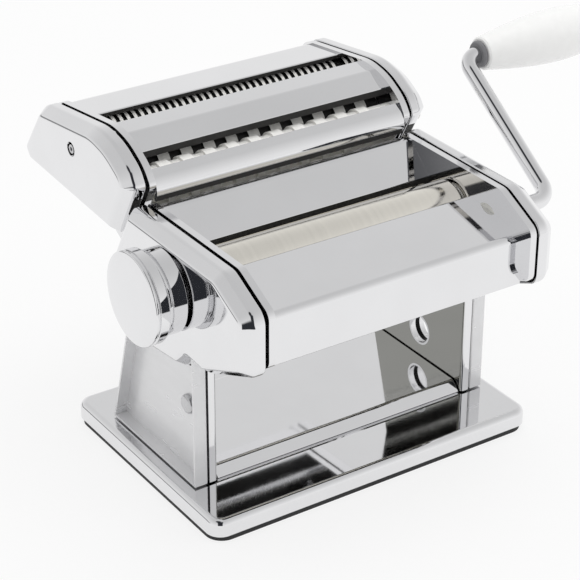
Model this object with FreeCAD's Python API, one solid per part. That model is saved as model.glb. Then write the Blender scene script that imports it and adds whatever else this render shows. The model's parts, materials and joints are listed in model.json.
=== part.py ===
import FreeCAD, Part
import math
import os

# Hand-cranked pasta roller with a lift-off cutter unit, in millimetres.
# X runs along the rollers to the crank side, Y to the back, Z up from the table.

# Driving dimensions of the base and the two side plates
BASE_W = 191.0
BASE_D = 138.0
BASE_H = 12.0
BASE_CORNER_R = 10.0
BASE_EDGE_R = 3.5
GASKET_H = 2.0
GASKET_INSET = 0.8
GASKET_WIDTH = 8.0
SHEET = 1.2
WALL = 1.5
SIDE_IN = 74.5
SIDE_OUT = 76.5
RIM_IN = 72.9
RIM_LOW = 99.5
RIM_BACK = 16.5
LEG_FRONT = -38.0
LEG_REAR = 41.5
LEG_TOP_REAR = (25.2, 69.0)
LEG_GAP = 0.9
FLANGE_X = 79.2
FLANGE_T = 2.0
FLANGE_TOP = 83.0
PAN_IN = 80.0
PAN_RIM = 87.4
PAN_BEND = 1.0
PAN_SCREW = (-24.0, 51.5)
PAN_SCREW_HEAD = (5.0, 2.6)
TAB_SPANS = [(-30.0, -16.0), (14.0, 30.0)]
TAB_DEPTH = 3.0
FLOOR_Z = 16.5
FLOOR_LIP_Y = -36.0
FLOOR_BACK_Y = 38.0
CLAMP_HOLE = (-1.0, 33.0)
CLAMP_R = 7.5
SOCKET_END = 83.0

# End caps, their screws and the rods between the side plates
COVER_IN = 78.2
COVER_BEVEL = 83.5
COVER_OUT = 89.5
COVER_INSET = 4.5
COVER_BOSSES = [(-72.5, 112.0), (-45.0, 93.5), (12.0, 82.0)]
BOSS_R = 3.5
SCREW_R = 1.6
SCREW_PLAY = 0.2
SCREW_DEPTH = 6.0
SCREW_HEAD = (3.2, 1.8)
TIE_RODS = [(-70.0, 103.0), (18.0, 92.0)]
TIE_R = 4.0
TIE_NECK = 2.5
NUT_R = 4.6
NUT_T = 2.6

# Rollers and the eccentric that opens their gap
ROLLER_R = 14.0
ROLLER_END = 72.8
GAP_OPEN = 4.8
ECCENTRICITY = 2.25
AXIS_Y = -20.5
AXIS_Z = 115.0
FRONT_Y = AXIS_Y - ECCENTRICITY
REAR_Y = FRONT_Y + 2 * ROLLER_R + GAP_OPEN
SPINDLE_R = 3.5
ECCENTRIC_R = 6.0
BUSH_R = 7.45
BUSH_WALL = 2.5
ROLLER_BORE = 7.5
HUB_R = 9.5
HUB_END = 84.0
REAR_JOURNAL_R = 5.5
RUN = 0.05
ARM_IN = 73.0
ARM_OUT = 74.2
SCRAPER_TOP = 19.0
SCRAPER_LOW = 22.0

# Long-toothed gears that stay in mesh while the gap changes
GEAR_TEETH = 8
GEAR_TIP = 17.2
GEAR_ROOT = 10.6
TOOTH_ROOT_HALF = 1.9
TOOTH_TIP_HALF = 1.0
GEAR_X = (78.2, 83.2)
REAR_GEAR_PHASE = 26.0
DRIVE_GEAR_PHASE = 43.0

# Drive socket and crank
DRIVE_Y = -50.9
DRIVE_Z = 119.8
DRIVE_HUB_R = 8.0
DRIVE_SPIGOT_R = 5.0
ROD_R = 4.25
ROD_FLAT = 3.5
SOCKET_PLAY = 0.15
CRANK_X = 115.0
CRANK_BEND_R = 8.5
HANDLE_Y = 22.5
HANDLE_Z = 170.0
HANDLE_X = (126.0, 207.0)
HANDLE_NECK_R = 8.8
HANDLE_BELLY_R = 14.2
FERRULE_R = 7.0

# Regulator knob, pulled out to free its index pin
KNOB_BACK = 90.8
KNOB_FACE = 110.0
KNOB_R = 23.2
KNOB_SKIRT_R = 21.0
KNOB_GROOVE_R = 19.8
KNOB_GROOVE = (98.5, 101.4)
KNOB_CAVITY_R = 9.0
KNOB_SEAM = 107.0
KNOB_WALL = 95.5
SPINDLE_TIP = 103.6
SPRING_R = (7.2, 5.0)
INDEX_HOLES = 10
INDEX_STEP = 20.0
INDEX_R = 14.0
INDEX_RING_R = 15.8
INDEX_RING_X = 90.5
PIN_R = 1.2

# Cutter unit, which slides down an inclined rail at 29 degrees from vertical
RAIL_TOP = (18.7, 140.0)
RAIL_LEAN = math.radians(29.0)
RAIL_MID = 19.9
RAIL_HALF = 8.5
RAIL_PLANE = 31.1
RAIL_X = 79.6
RAIL_WEB = 1.0
RAIL_HEAD = 2.0
RAIL_PLAY = 0.4
GUIDE_END = 83.4
GUIDE_DEPTH = (1.9, 7.4)
CUT_IN = 72.9
ROLL_SPACING = 15.6
ROLL_R = 8.4
ROLL_GROOVE = 6.6
WIDE_Y = 29.4
WIDE_Z = 145.0
THIN_Y = 62.4
THIN_Z = 152.0
WIDE_PITCH = 13.0
THIN_PITCH = 4.0
THIN_PEAK = 8.3
THIN_VALLEY = 6.9
ROLL_JOURNAL = 3.5
ROLL_SHAFT = 5.6
CUT_TEETH = 12
CUT_TIP = 8.9
CUT_ROOT = 6.5
CUT_TOOTH_ROOT_HALF = 1.2
CUT_TOOTH_TIP_HALF = 0.55
CUT_BUSH_WALL = 1.4
CUT_BOSSES = [(100.0, 146.0), (52.0, 130.0)]
CUT_BOSS_R = 3.0
CUT_TIE_BARS = [(95.0, 134.0), (46.0, 160.0)]
CUT_TIE_R = 3.0
COMB_TOP = 15.0
COMB_LOW = 18.0
COMB_TIP = 12.0
FACE_SCREW = (THIN_Y + ROLL_SPACING / 2, THIN_Z - 0.5)
FACE_SCREW_HEAD_R = 2.3
ROLLS = {
    "wide_front": (WIDE_Y, WIDE_Z),
    "wide_rear": (WIDE_Y + ROLL_SPACING, WIDE_Z),
    "thin_front": (THIN_Y, THIN_Z),
    "thin_rear": (THIN_Y + ROLL_SPACING, THIN_Z),
}
DRIVEN = ("wide_front", "thin_front")

# Outlines in the side view as (y, z, corner radius)
COVER_RIM = [
    (RAIL_TOP[0], RAIL_TOP[1], 3.0),
    (-62.0, 140.0, 9.0),
    (-87.0, 127.5, 6.0),
    (-87.0, 100.0, 6.0),
    (-53.0, 85.0, 6.0),
    (-34.0, 85.0, 5.0),
    (-26.0, 74.0, 5.0),
    (24.5, 68.5, 4.0),
    (RAIL_TOP[0] + RAIL_PLANE * math.sin(RAIL_LEAN), RAIL_TOP[1] - RAIL_PLANE * math.cos(RAIL_LEAN), 6.0),
]
CUTTER_RIM = [
    (15.3, 149.2, 4.0),
    (21.0, 157.5, 26.0),
    (35.0, 165.5, 38.0),
    (50.0, 168.5, 38.0),
    (106.0, 161.5, 10.0),
    (126.0, 134.0, 6.0),
    (119.0, 125.0, 5.0),
    (36.0, 119.5, 3.0),
    (31.3, 120.4, 2.0),
]
SIDE_OUTLINE = [
    (18.0, 139.8, 2.8),
    (-62.0, 139.8, 8.8),
    (-86.8, 127.4, 5.8),
    (-86.8, 100.1, 5.8),
    (-52.9, 85.2, 5.0),
    (LEG_FRONT, 85.2, 0.0),
    (LEG_FRONT, BASE_H + LEG_GAP, 0.0),
    (LEG_REAR, BASE_H + LEG_GAP, 0.0),
    (LEG_TOP_REAR[0], LEG_TOP_REAR[1], 3.0),
    (32.4, 112.8, 5.0),
]
PAN_OUTLINE = [
    (LEG_FRONT, 84.4, 0.0),
    (LEG_FRONT, BASE_H + LEG_GAP, 0.0),
    (LEG_REAR, BASE_H + LEG_GAP, 0.0),
    (25.7, 67.6, 0.0),
    (-26.6, 73.3, 4.0),
    (-34.5, 84.4, 0.0),
]


def place(x, y, z):
    """Vector from the three coordinates."""
    return FreeCAD.Vector(x, y, z)


def box(x0, x1, y0, y1, z0, z1):
    """Box between two corners."""
    return Part.makeBox(x1 - x0, y1 - y0, z1 - z0, place(x0, y0, z0))


def rod_x(y, z, radius, x0, x1):
    """Round bar along X."""
    return Part.makeCylinder(radius, x1 - x0, place(x0, y, z), place(1, 0, 0))


def tube_x(y, z, outer, inner, x0, x1):
    """Round tube along X."""
    return rod_x(y, z, outer, x0, x1).cut(rod_x(y, z, inner, x0 - 1, x1 + 1))


def outline_wire(corners, x):
    """Closed wire at one X through rounded corners given as (y, z, radius)."""
    edges = []
    previous_end = None
    first_start = None
    count = len(corners)
    for i in range(count):
        before = corners[i - 1]
        here = corners[i]
        after = corners[(i + 1) % count]
        point = place(x, here[0], here[1])
        to_before = (place(x, before[0], before[1]) - point).normalize()
        to_after = (place(x, after[0], after[1]) - point).normalize()
        start = point
        end = point
        if here[2] > 0:
            half = to_before.getAngle(to_after) / 2
            reach = here[2] / math.tan(half)
            start = point + to_before * reach
            end = point + to_after * reach
            bisector = (to_before + to_after).normalize()
            middle = point + bisector * (here[2] / math.sin(half) - here[2])
        if previous_end is not None:
            edges.append(Part.LineSegment(previous_end, start).toShape())
        else:
            first_start = start
        if here[2] > 0:
            edges.append(Part.Arc(start, middle, end).toShape())
        previous_end = end
    edges.append(Part.LineSegment(previous_end, first_start).toShape())
    return Part.Wire(edges)


def plate_x(corners, x0, x1):
    """Flat plate between two X planes with a rounded outline."""
    return Part.Face(outline_wire(corners, x0)).extrude(place(x1 - x0, 0, 0))


def inset(corners, distance):
    """Outline moved inwards by a distance, with its radii reduced to suit."""
    area = 0.0
    count = len(corners)
    for i in range(count):
        here = corners[i]
        after = corners[(i + 1) % count]
        area += here[0] * after[1] - after[0] * here[1]
    turn = 1.0 if area > 0 else -1.0
    moved = []
    for i in range(count):
        before = corners[i - 1]
        here = corners[i]
        after = corners[(i + 1) % count]
        normals = []
        for a, b in ((before, here), (here, after)):
            length = math.hypot(b[0] - a[0], b[1] - a[1])
            normals.append((-turn * (b[1] - a[1]) / length, turn * (b[0] - a[0]) / length))
        (ay, az), (by, bz) = normals
        scale = distance / (1 + ay * by + az * bz)
        convex = (ay * bz - az * by) * turn > 0
        radius = here[2] - distance if convex else here[2] + distance
        moved.append((here[0] + (ay + by) * scale, here[1] + (az + bz) * scale, max(radius, 0.6)))
    return moved


def bent_sheet(path, thickness, half_length, bend):
    """Folded sheet along X: the path is its outer face, the metal lies to the right of it."""
    inner = []
    count = len(path)
    for i in range(count):
        normals = []
        for a, b in ((i - 1, i), (i, i + 1)):
            if a < 0 or b >= count:
                continue
            dy = path[b][0] - path[a][0]
            dz = path[b][1] - path[a][1]
            length = math.hypot(dy, dz)
            normals.append((dz / length, -dy / length))
        if len(normals) == 1:
            normals = normals * 2
        (ay, az), (by, bz) = normals
        scale = thickness / (1 + ay * by + az * bz)
        turn = ay * bz - az * by
        moved = (path[i][0] + (ay + by) * scale, path[i][1] + (az + bz) * scale)
        inner.append((moved, turn))
    corners = []
    for i in range(count):
        ends = i in (0, count - 1)
        outside = bend + thickness if inner[i][1] < 0 else bend
        corners.append((path[i][0], path[i][1], 0.0 if ends else outside))
    for i in reversed(range(count)):
        ends = i in (0, count - 1)
        inside = bend if inner[i][1] < 0 else bend + thickness
        corners.append((inner[i][0][0], inner[i][0][1], 0.0 if ends else inside))
    return plate_x(corners, -half_length, half_length)


def mirrored(shape):
    """Copy on the other side of the middle plane."""
    return shape.mirror(place(0, 0, 0), place(1, 0, 0))


def gear(y, z, teeth, tip, root, root_half, tip_half, bore, phase):
    """Spur gear with straight tapered teeth, at an angle from the +Y direction."""
    ring = tube_x(y, z, root, bore, GEAR_X[0], GEAR_X[1])
    pieces = []
    sunk = root - 0.6
    half = [
        (sunk, root_half),
        (tip - 0.5, tip_half),
        (tip, tip_half - 0.45),
    ]
    points = [place(GEAR_X[0], r, w) for r, w in half]
    points += [place(GEAR_X[0], r, -w) for r, w in reversed(half)]
    tooth = Part.Face(Part.makePolygon(points + points[:1])).extrude(place(GEAR_X[1] - GEAR_X[0], 0, 0))
    for i in range(teeth):
        copy = tooth.copy()
        copy.rotate(place(0, 0, 0), place(1, 0, 0), phase + 360.0 * i / teeth)
        copy.translate(place(0, y, z))
        pieces.append(copy)
    whole = ring.multiFuse(pieces).removeSplitter()
    return whole.cut(rod_x(y, z, bore, GEAR_X[0] - 1, GEAR_X[1] + 1))


def turned(profile, y, z):
    """Solid of revolution about an X axis from (x, radius) points."""
    points = [place(x, 0, r) for x, r in profile]
    face = Part.Face(Part.makePolygon(points + points[:1]))
    solid = face.revolve(place(0, 0, 0), place(1, 0, 0), 360)
    solid.translate(place(0, y, z))
    return solid


def socket_cut(y, z, x0, x1, play):
    """Two-flat section of the crank's end, for its socket or the rod itself."""
    reach = ROD_R + 1
    flat = ROD_FLAT + play
    return rod_x(y, z, ROD_R + play, x0, x1).common(box(x0, x1, y - reach, y + reach, z - flat, z + flat))


# Base

def rounded_slab(width, depth, z0, z1, corner, edge):
    """Slab with round corners and a rolled upper edge."""
    slab = box(-width / 2, width / 2, -depth / 2, depth / 2, z0, z1)
    uprights = [e for e in slab.Edges if abs(e.tangentAt(e.FirstParameter).z) > 0.9]
    slab = slab.makeFillet(corner, uprights)
    top = [e for e in slab.Edges if e.BoundBox.ZMin > z1 - 1e-6]
    return slab.makeFillet(edge, top)


def base_plate():
    """Pressed base tray with slots for the side plates' tabs."""
    outer = rounded_slab(BASE_W, BASE_D, GASKET_H, BASE_H, BASE_CORNER_R, BASE_EDGE_R)
    inner_w = BASE_W - 2 * WALL
    inner_d = BASE_D - 2 * WALL
    inner_top = BASE_H - WALL
    inner = rounded_slab(inner_w, inner_d, -WALL, inner_top, BASE_CORNER_R - WALL, BASE_EDGE_R - WALL)
    tray = outer.cut(inner)
    for tab in TAB_SPANS:
        slot = box(SIDE_IN - RUN, SIDE_OUT + RUN, tab[0] - RUN, tab[1] + RUN, 0, BASE_H + 1)
        tray = tray.cut(slot).cut(mirrored(slot))
    return tray


def base_gasket():
    """Rubber rim that the base stands on."""
    half_w = BASE_W / 2 - GASKET_INSET
    half_d = BASE_D / 2 - GASKET_INSET
    outer = box(-half_w, half_w, -half_d, half_d, 0, GASKET_H)
    uprights = [e for e in outer.Edges if abs(e.tangentAt(e.FirstParameter).z) > 0.9]
    outer = outer.makeFillet(BASE_CORNER_R - GASKET_INSET, uprights)
    half_w -= GASKET_WIDTH
    half_d -= GASKET_WIDTH
    return outer.cut(box(-half_w, half_w, -half_d, half_d, -1, GASKET_H + 1))


# Side plates

def side_blank():
    """Right-hand side plate with its rolled rim, flanged leg, base tabs and a stud for the leg's pan."""
    plate = plate_x(SIDE_OUTLINE, SIDE_IN, SIDE_OUT)
    core = plate_x(inset(SIDE_OUTLINE, SHEET), RIM_IN - 1, SIDE_IN + 1)
    rim = plate_x(SIDE_OUTLINE, RIM_IN, SIDE_IN).cut(core)
    rim = rim.common(box(RIM_IN, SIDE_IN, SIDE_OUTLINE[2][0] - 1, RIM_BACK, RIM_LOW, SIDE_OUTLINE[0][1] + 1))
    low_z = BASE_H + LEG_GAP
    front = box(SIDE_OUT, FLANGE_X, LEG_FRONT, LEG_FRONT + FLANGE_T, low_z, FLANGE_TOP)
    lean_y = (LEG_REAR - LEG_TOP_REAR[0]) / (LEG_TOP_REAR[1] - low_z)
    top_z = LEG_TOP_REAR[1] - 3.0
    top_y = LEG_REAR - lean_y * (top_z - low_z)
    rear = plate_x(
        [
            (LEG_REAR, low_z, 0.0),
            (top_y, top_z, 0.0),
            (top_y - FLANGE_T, top_z, 0.0),
            (LEG_REAR - FLANGE_T, low_z, 0.0),
        ],
        SIDE_OUT,
        FLANGE_X,
    )
    stud = tube_x(PAN_SCREW[0], PAN_SCREW[1], BOSS_R, SCREW_R + SCREW_PLAY, SIDE_OUT, PAN_IN)
    plate = plate.multiFuse([front, rear, rim, stud])
    for tab in TAB_SPANS:
        plate = plate.fuse(box(SIDE_IN, SIDE_OUT, tab[0], tab[1], BASE_H - TAB_DEPTH, low_z))
    plate = plate.removeSplitter()
    bend = []
    for e in plate.Edges:
        bounds = e.BoundBox
        upright = bounds.ZLength > 40 and bounds.YLength < 0.01
        if upright and abs(bounds.YMin - LEG_FRONT) < 0.01 and abs(bounds.XMin - SIDE_IN) < 0.01:
            bend.append(e)
    return plate.makeFillet(FLANGE_T - 0.2, bend)


def drill(plate, holes, x0, x1):
    """Plate with round holes given as (y, z, radius)."""
    for y, z, radius in holes:
        plate = plate.cut(rod_x(y, z, radius, x0, x1))
    return plate


def side_plate_right():
    """Side plate on the crank side, with the gear shafts' holes and the clamp hole."""
    holes = [(y, z, SCREW_R + SCREW_PLAY) for y, z in COVER_BOSSES]
    holes += [(y, z, TIE_NECK) for y, z in TIE_RODS]
    holes.append((AXIS_Y, AXIS_Z, HUB_R + ECCENTRICITY + 0.7))
    holes.append((REAR_Y, AXIS_Z, REAR_JOURNAL_R + BUSH_WALL))
    holes.append((DRIVE_Y, DRIVE_Z, DRIVE_SPIGOT_R + BUSH_WALL))
    holes.append((CLAMP_HOLE[0], CLAMP_HOLE[1], CLAMP_R + SHEET))
    return drill(side_blank(), holes, SIDE_IN - 1, SIDE_OUT + 1)


def side_plate_left():
    """Side plate on the knob side."""
    holes = [(y, z, SCREW_R + SCREW_PLAY) for y, z in COVER_BOSSES]
    holes += [(y, z, TIE_NECK) for y, z in TIE_RODS]
    holes.append((AXIS_Y, AXIS_Z, SPINDLE_R + BUSH_WALL))
    holes.append((REAR_Y, AXIS_Z, REAR_JOURNAL_R + BUSH_WALL))
    return mirrored(drill(side_blank(), holes, SIDE_IN - 1, SIDE_OUT + 1))


def clamp_socket():
    """Flanged tube in the right leg that takes the table clamp's hook."""
    y, z = CLAMP_HOLE
    tube = rod_x(y, z, CLAMP_R + SHEET, SIDE_IN, SOCKET_END)
    tube = tube.fuse(rod_x(y, z, CLAMP_R + 3, SIDE_OUT, SIDE_OUT + SHEET))
    return tube.cut(rod_x(y, z, CLAMP_R, SIDE_IN - 1, SOCKET_END + 1))


def leg_pan():
    """Right-hand pressed pan over the leg, with its rim turned outwards."""
    pan = plate_x(PAN_OUTLINE, PAN_IN, PAN_RIM)
    folds = []
    for e in pan.Edges:
        bounds = e.BoundBox
        middle = e.valueAt((e.FirstParameter + e.LastParameter) / 2)
        lower = bounds.XMax < PAN_IN + 0.01 and e.Length > 40
        if lower and middle.z < 50:
            folds.append(e)
    pan = pan.makeFillet(PAN_BEND, folds)
    (front_y, top_z, _), (_, low_z, _), (rear_y, _, _), (back_y, back_z, _) = PAN_OUTLINE[:4]
    lean = (rear_y - back_y) / (back_z - low_z)
    pocket = [
        (front_y + SHEET, top_z + 1, 0.0),
        (front_y + SHEET, low_z + SHEET, 0.0),
        (rear_y - lean * SHEET - SHEET, low_z + SHEET, 0.0),
        (rear_y - lean * (top_z + 1 - low_z) - SHEET, top_z + 1, 0.0),
    ]
    pan = pan.cut(plate_x(pocket, PAN_IN + SHEET, PAN_RIM + 1))
    return pan.cut(rod_x(PAN_SCREW[0], PAN_SCREW[1], SCREW_R + SCREW_PLAY, PAN_IN - 1, PAN_RIM))


def leg_pan_right():
    """Pan over the right leg, with the clamp socket's hole."""
    y, z = CLAMP_HOLE
    return leg_pan().cut(rod_x(y, z, CLAMP_R + SHEET, PAN_IN - 1, PAN_RIM))


def leg_pan_left():
    """Pan over the left leg."""
    return mirrored(leg_pan())


def leg_screws():
    """Button-head screws that hold the pans on the side plates' studs."""
    y, z = PAN_SCREW
    head_r, head_t = PAN_SCREW_HEAD
    face = PAN_IN + SHEET
    head = rod_x(y, z, head_r, face, face + head_t)
    rim = [e for e in head.Edges if e.BoundBox.XMin > face + head_t - 0.01]
    head = head.makeFillet(head_t * 0.75, rim)
    screw = head.fuse(rod_x(y, z, SCREW_R, SIDE_OUT + SCREW_PLAY, face)).removeSplitter()
    return Part.makeCompound([screw, mirrored(screw)])


def floor_plate():
    """Mirror floor under the rollers, with a bevelled front lip."""
    rise = FLOOR_Z - BASE_H
    path = [
        (FLOOR_BACK_Y, BASE_H),
        (FLOOR_BACK_Y - 2.0, FLOOR_Z),
        (FLOOR_LIP_Y + rise, FLOOR_Z),
        (FLOOR_LIP_Y, BASE_H),
    ]
    return bent_sheet(path, SHEET, SIDE_IN, 1.0)


# End covers and hoods

def cap_shell(rim):
    """Hollow cap with a bevel round its face, open on its inner side."""
    solids = []
    for grow, x_rim, x_bevel, x_face in (
        (0.0, COVER_IN, COVER_BEVEL, COVER_OUT),
        (WALL, COVER_IN - 1, COVER_BEVEL - 0.4, COVER_OUT - WALL),
    ):
        edge = inset(rim, grow) if grow else rim
        face = inset(rim, COVER_INSET + grow * 0.6)
        wall = plate_x(edge, x_rim, x_bevel)
        bevel = Part.makeLoft([outline_wire(edge, x_bevel), outline_wire(face, x_face)], True, True)
        solids.append(wall.fuse(bevel).removeSplitter())
    return solids[0].cut(solids[1])


def bosses(places, radius, x0):
    """Screw bosses that stand on the side plate and reach the cap's face."""
    made = []
    for y, z in places:
        post = rod_x(y, z, radius, x0, COVER_OUT - WALL + 0.2)
        made.append(post.cut(rod_x(y, z, SCREW_R + SCREW_PLAY, x0 - 1, x0 + SCREW_DEPTH + 2)))
    return made


def end_cover_right():
    """Cap over the gears, with the crank's hole."""
    cap = cap_shell(COVER_RIM).multiFuse(bosses(COVER_BOSSES, BOSS_R, SIDE_OUT))
    return cap.cut(rod_x(DRIVE_Y, DRIVE_Z, DRIVE_HUB_R + RUN, COVER_BEVEL, COVER_OUT + 1))


def end_cover_left():
    """Cap on the knob side, with the spindle's hole."""
    cap = cap_shell(COVER_RIM).multiFuse(bosses(COVER_BOSSES, BOSS_R, SIDE_OUT))
    return mirrored(cap.cut(rod_x(AXIS_Y, AXIS_Z, SPINDLE_R + 1.0, COVER_BEVEL, COVER_OUT + 1)))


def cap_screws(places, x0):
    """Pan-head screws through both side plates into the caps' bosses."""
    made = []
    head_r, head_t = SCREW_HEAD
    for y, z in places:
        screw = rod_x(y, z, head_r, x0 - head_t, x0).fuse(rod_x(y, z, SCREW_R, x0, SIDE_OUT + SCREW_DEPTH))
        made += [screw, mirrored(screw)]
    return made


def cover_screws():
    """Screws of the body's caps."""
    return Part.makeCompound(cap_screws(COVER_BOSSES, SIDE_IN))


def front_hood():
    """Folded sheet in front of the rollers."""
    path = [(-73.0, 95.0), (-79.0, 95.0), (-79.0, 121.8), (-37.5, 126.2), (-35.2, 124.4)]
    return bent_sheet(path, SHEET, SIDE_IN, 1.2)


def rear_hood():
    """Folded sheet over the rear roller, which guides the dough to the nip."""
    path = [(-3.3, 124.4), (12.6, 138.4), (17.4, 138.4), (31.2, 113.4), (28.6, 101.0)]
    return bent_sheet(path, SHEET, SIDE_IN, 1.0)


def tie_rods():
    """Two spacers between the side plates, necked at both ends."""
    made = []
    for y, z in TIE_RODS:
        bar = rod_x(y, z, TIE_R, -SIDE_IN, SIDE_IN)
        made.append(bar.fuse(rod_x(y, z, TIE_NECK, -SIDE_OUT - 3, SIDE_OUT + 3)))
    return Part.makeCompound(made)


def tie_rod_nuts():
    """Hexagon nuts on the tie rods' necks, outside the plates."""
    made = []
    for y, z in TIE_RODS:
        points = []
        for i in range(7):
            angle = math.radians(60 * i)
            points.append(place(SIDE_OUT, y + NUT_R * math.cos(angle), z + NUT_R * math.sin(angle)))
        nut = Part.Face(Part.makePolygon(points)).extrude(place(NUT_T, 0, 0))
        nut = nut.cut(rod_x(y, z, TIE_NECK, SIDE_OUT - 1, SIDE_OUT + 5))
        made += [nut, mirrored(nut)]
    return Part.makeCompound(made)


# Bearings

def flanged_bush(y, z, outer, inner):
    """Bush in the right side plate with a flange on the outer face."""
    body = rod_x(y, z, outer, SIDE_IN, SIDE_OUT)
    body = body.fuse(rod_x(y, z, outer + 1.2, SIDE_OUT, SIDE_OUT + 1.0))
    return body.cut(rod_x(y, z, inner, SIDE_IN - 1, SIDE_OUT + 3))


def rear_roller_bushes():
    """Bushes of the rear roller in both side plates."""
    bush = flanged_bush(REAR_Y, AXIS_Z, REAR_JOURNAL_R + BUSH_WALL, REAR_JOURNAL_R + RUN)
    return Part.makeCompound([bush, mirrored(bush)])


def regulator_bushes():
    """Bushes of the eccentric spindle: one in the left plate, one on the right cap."""
    left = mirrored(flanged_bush(AXIS_Y, AXIS_Z, SPINDLE_R + BUSH_WALL, SPINDLE_R + RUN))
    right = tube_x(AXIS_Y, AXIS_Z, SPINDLE_R + BUSH_WALL, SPINDLE_R + RUN, HUB_END + 1.0, COVER_OUT - WALL)
    return Part.makeCompound([left, right])


def drive_bush():
    """Bush of the drive gear in the right side plate."""
    return flanged_bush(DRIVE_Y, DRIVE_Z, DRIVE_SPIGOT_R + BUSH_WALL, DRIVE_SPIGOT_R + RUN)


# Rollers, eccentric and scrapers

def regulator_spindle():
    """Spindle through the front roller, with an eccentric that carries it."""
    shoulder = HUB_END + 0.4
    left = rod_x(AXIS_Y, AXIS_Z, SPINDLE_R, -SPINDLE_TIP, -SIDE_IN + 0.3)
    eccentric = rod_x(FRONT_Y, AXIS_Z, ECCENTRIC_R, -SIDE_IN + 0.3, shoulder)
    right = rod_x(AXIS_Y, AXIS_Z, SPINDLE_R, shoulder, COVER_OUT - WALL - 0.3)
    return eccentric.multiFuse([left, right])


def scraper_bar(centre_y, side, half_length):
    """Scraper blade under a roller, on the side of the nip."""
    tip = math.radians(70)
    reach = ROLLER_R + 0.35
    corners = [
        (centre_y + side * reach * math.cos(tip), AXIS_Z - reach * math.sin(tip), 0.0),
        (centre_y + side * 7.5, AXIS_Z - SCRAPER_TOP, 0.0),
        (centre_y + side * 7.5, AXIS_Z - SCRAPER_LOW, 0.0),
        (centre_y + side * 2.0, AXIS_Z - SCRAPER_LOW, 0.0),
        (centre_y + side * 2.0, AXIS_Z - SCRAPER_TOP, 0.0),
    ]
    return plate_x(corners, -half_length, half_length)


def carrier_arm():
    """Outline of the arm that holds the front scraper, drilled in the middle."""
    arm = rod_x(FRONT_Y, AXIS_Z, HUB_R + 2.0, ARM_IN, ARM_OUT)
    leg = plate_x(
        [
            (FRONT_Y - 6.0, AXIS_Z, 0.0),
            (FRONT_Y + 8.5, AXIS_Z, 0.0),
            (FRONT_Y + 8.5, AXIS_Z - SCRAPER_LOW, 0.0),
            (FRONT_Y + 1.0, AXIS_Z - SCRAPER_LOW, 0.0),
        ],
        ARM_IN,
        ARM_OUT,
    )
    return arm.fuse(leg).removeSplitter()


def front_roller_carriers():
    """Bushes that turn on the eccentric and stay upright, with the scraper's arms."""
    bore = ECCENTRIC_R + RUN
    left = mirrored(carrier_arm()).fuse(rod_x(FRONT_Y, AXIS_Z, BUSH_R, -ARM_IN, -60.0))
    left = left.cut(rod_x(FRONT_Y, AXIS_Z, bore, -80, -50))
    right_arm = carrier_arm().cut(rod_x(FRONT_Y, AXIS_Z, HUB_R + RUN, 60, 80))
    right_bush = tube_x(FRONT_Y, AXIS_Z, BUSH_R, bore, 68.0, HUB_END - 0.4)
    return Part.makeCompound([left, right_arm, right_bush])


def front_scraper():
    """Scraper of the front roller, between the carrier's arms."""
    return scraper_bar(FRONT_Y, 1.0, ARM_IN)


def rear_scraper():
    """Scraper of the rear roller, between the side plates."""
    return scraper_bar(REAR_Y, -1.0, SIDE_IN)


def front_roller():
    """Hollow front roller with the hub that carries its gear."""
    body = rod_x(FRONT_Y, AXIS_Z, ROLLER_R, -ROLLER_END, ROLLER_END)
    body = body.fuse(rod_x(FRONT_Y, AXIS_Z, HUB_R, ROLLER_END, HUB_END))
    return body.cut(rod_x(FRONT_Y, AXIS_Z, ROLLER_BORE, -ROLLER_END - 1, HUB_END + 1))


def rear_roller():
    """Rear roller with its journals."""
    body = rod_x(REAR_Y, AXIS_Z, ROLLER_R, -ROLLER_END, ROLLER_END)
    return body.fuse(rod_x(REAR_Y, AXIS_Z, REAR_JOURNAL_R, -SIDE_OUT - 2.5, HUB_END))


def roller_gear(y, z, bore, phase):
    """One of the three equal gears under the right cap."""
    return gear(y, z, GEAR_TEETH, GEAR_TIP, GEAR_ROOT, TOOTH_ROOT_HALF, TOOTH_TIP_HALF, bore, phase)


# Knob

def knob():
    """Turned knob with a skirt, a double groove and a grip ring, hollow for its spring."""
    skirt_end, grip_start = KNOB_GROOVE
    bead = (skirt_end + grip_start) / 2
    edge = 0.4
    profile = [
        (-KNOB_BACK, SPINDLE_R + RUN),
        (-KNOB_BACK, KNOB_SKIRT_R - edge),
        (-KNOB_BACK - edge, KNOB_SKIRT_R),
        (-skirt_end + edge / 2, KNOB_SKIRT_R),
        (-skirt_end, KNOB_GROOVE_R),
        (-bead + edge, KNOB_GROOVE_R),
        (-bead + edge / 2, KNOB_GROOVE_R + 2 * edge),
        (-bead - edge / 2, KNOB_GROOVE_R + 2 * edge),
        (-bead - edge, KNOB_GROOVE_R),
        (-grip_start, KNOB_GROOVE_R),
        (-grip_start, KNOB_R - edge),
        (-grip_start - edge, KNOB_R),
        (-KNOB_SEAM + 2 * edge, KNOB_R),
        (-KNOB_SEAM + edge, KNOB_R - 2 * edge),
        (-KNOB_SEAM, KNOB_R - 2 * edge),
        (-KNOB_SEAM, KNOB_CAVITY_R),
        (-KNOB_WALL, KNOB_CAVITY_R),
        (-KNOB_WALL, SPINDLE_R + RUN),
    ]
    pin_hole = rod_x(AXIS_Y, AXIS_Z + INDEX_R, PIN_R, -KNOB_WALL - 0.5, -KNOB_BACK + 1)
    return turned(profile, AXIS_Y, AXIS_Z).cut(pin_hole)


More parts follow.
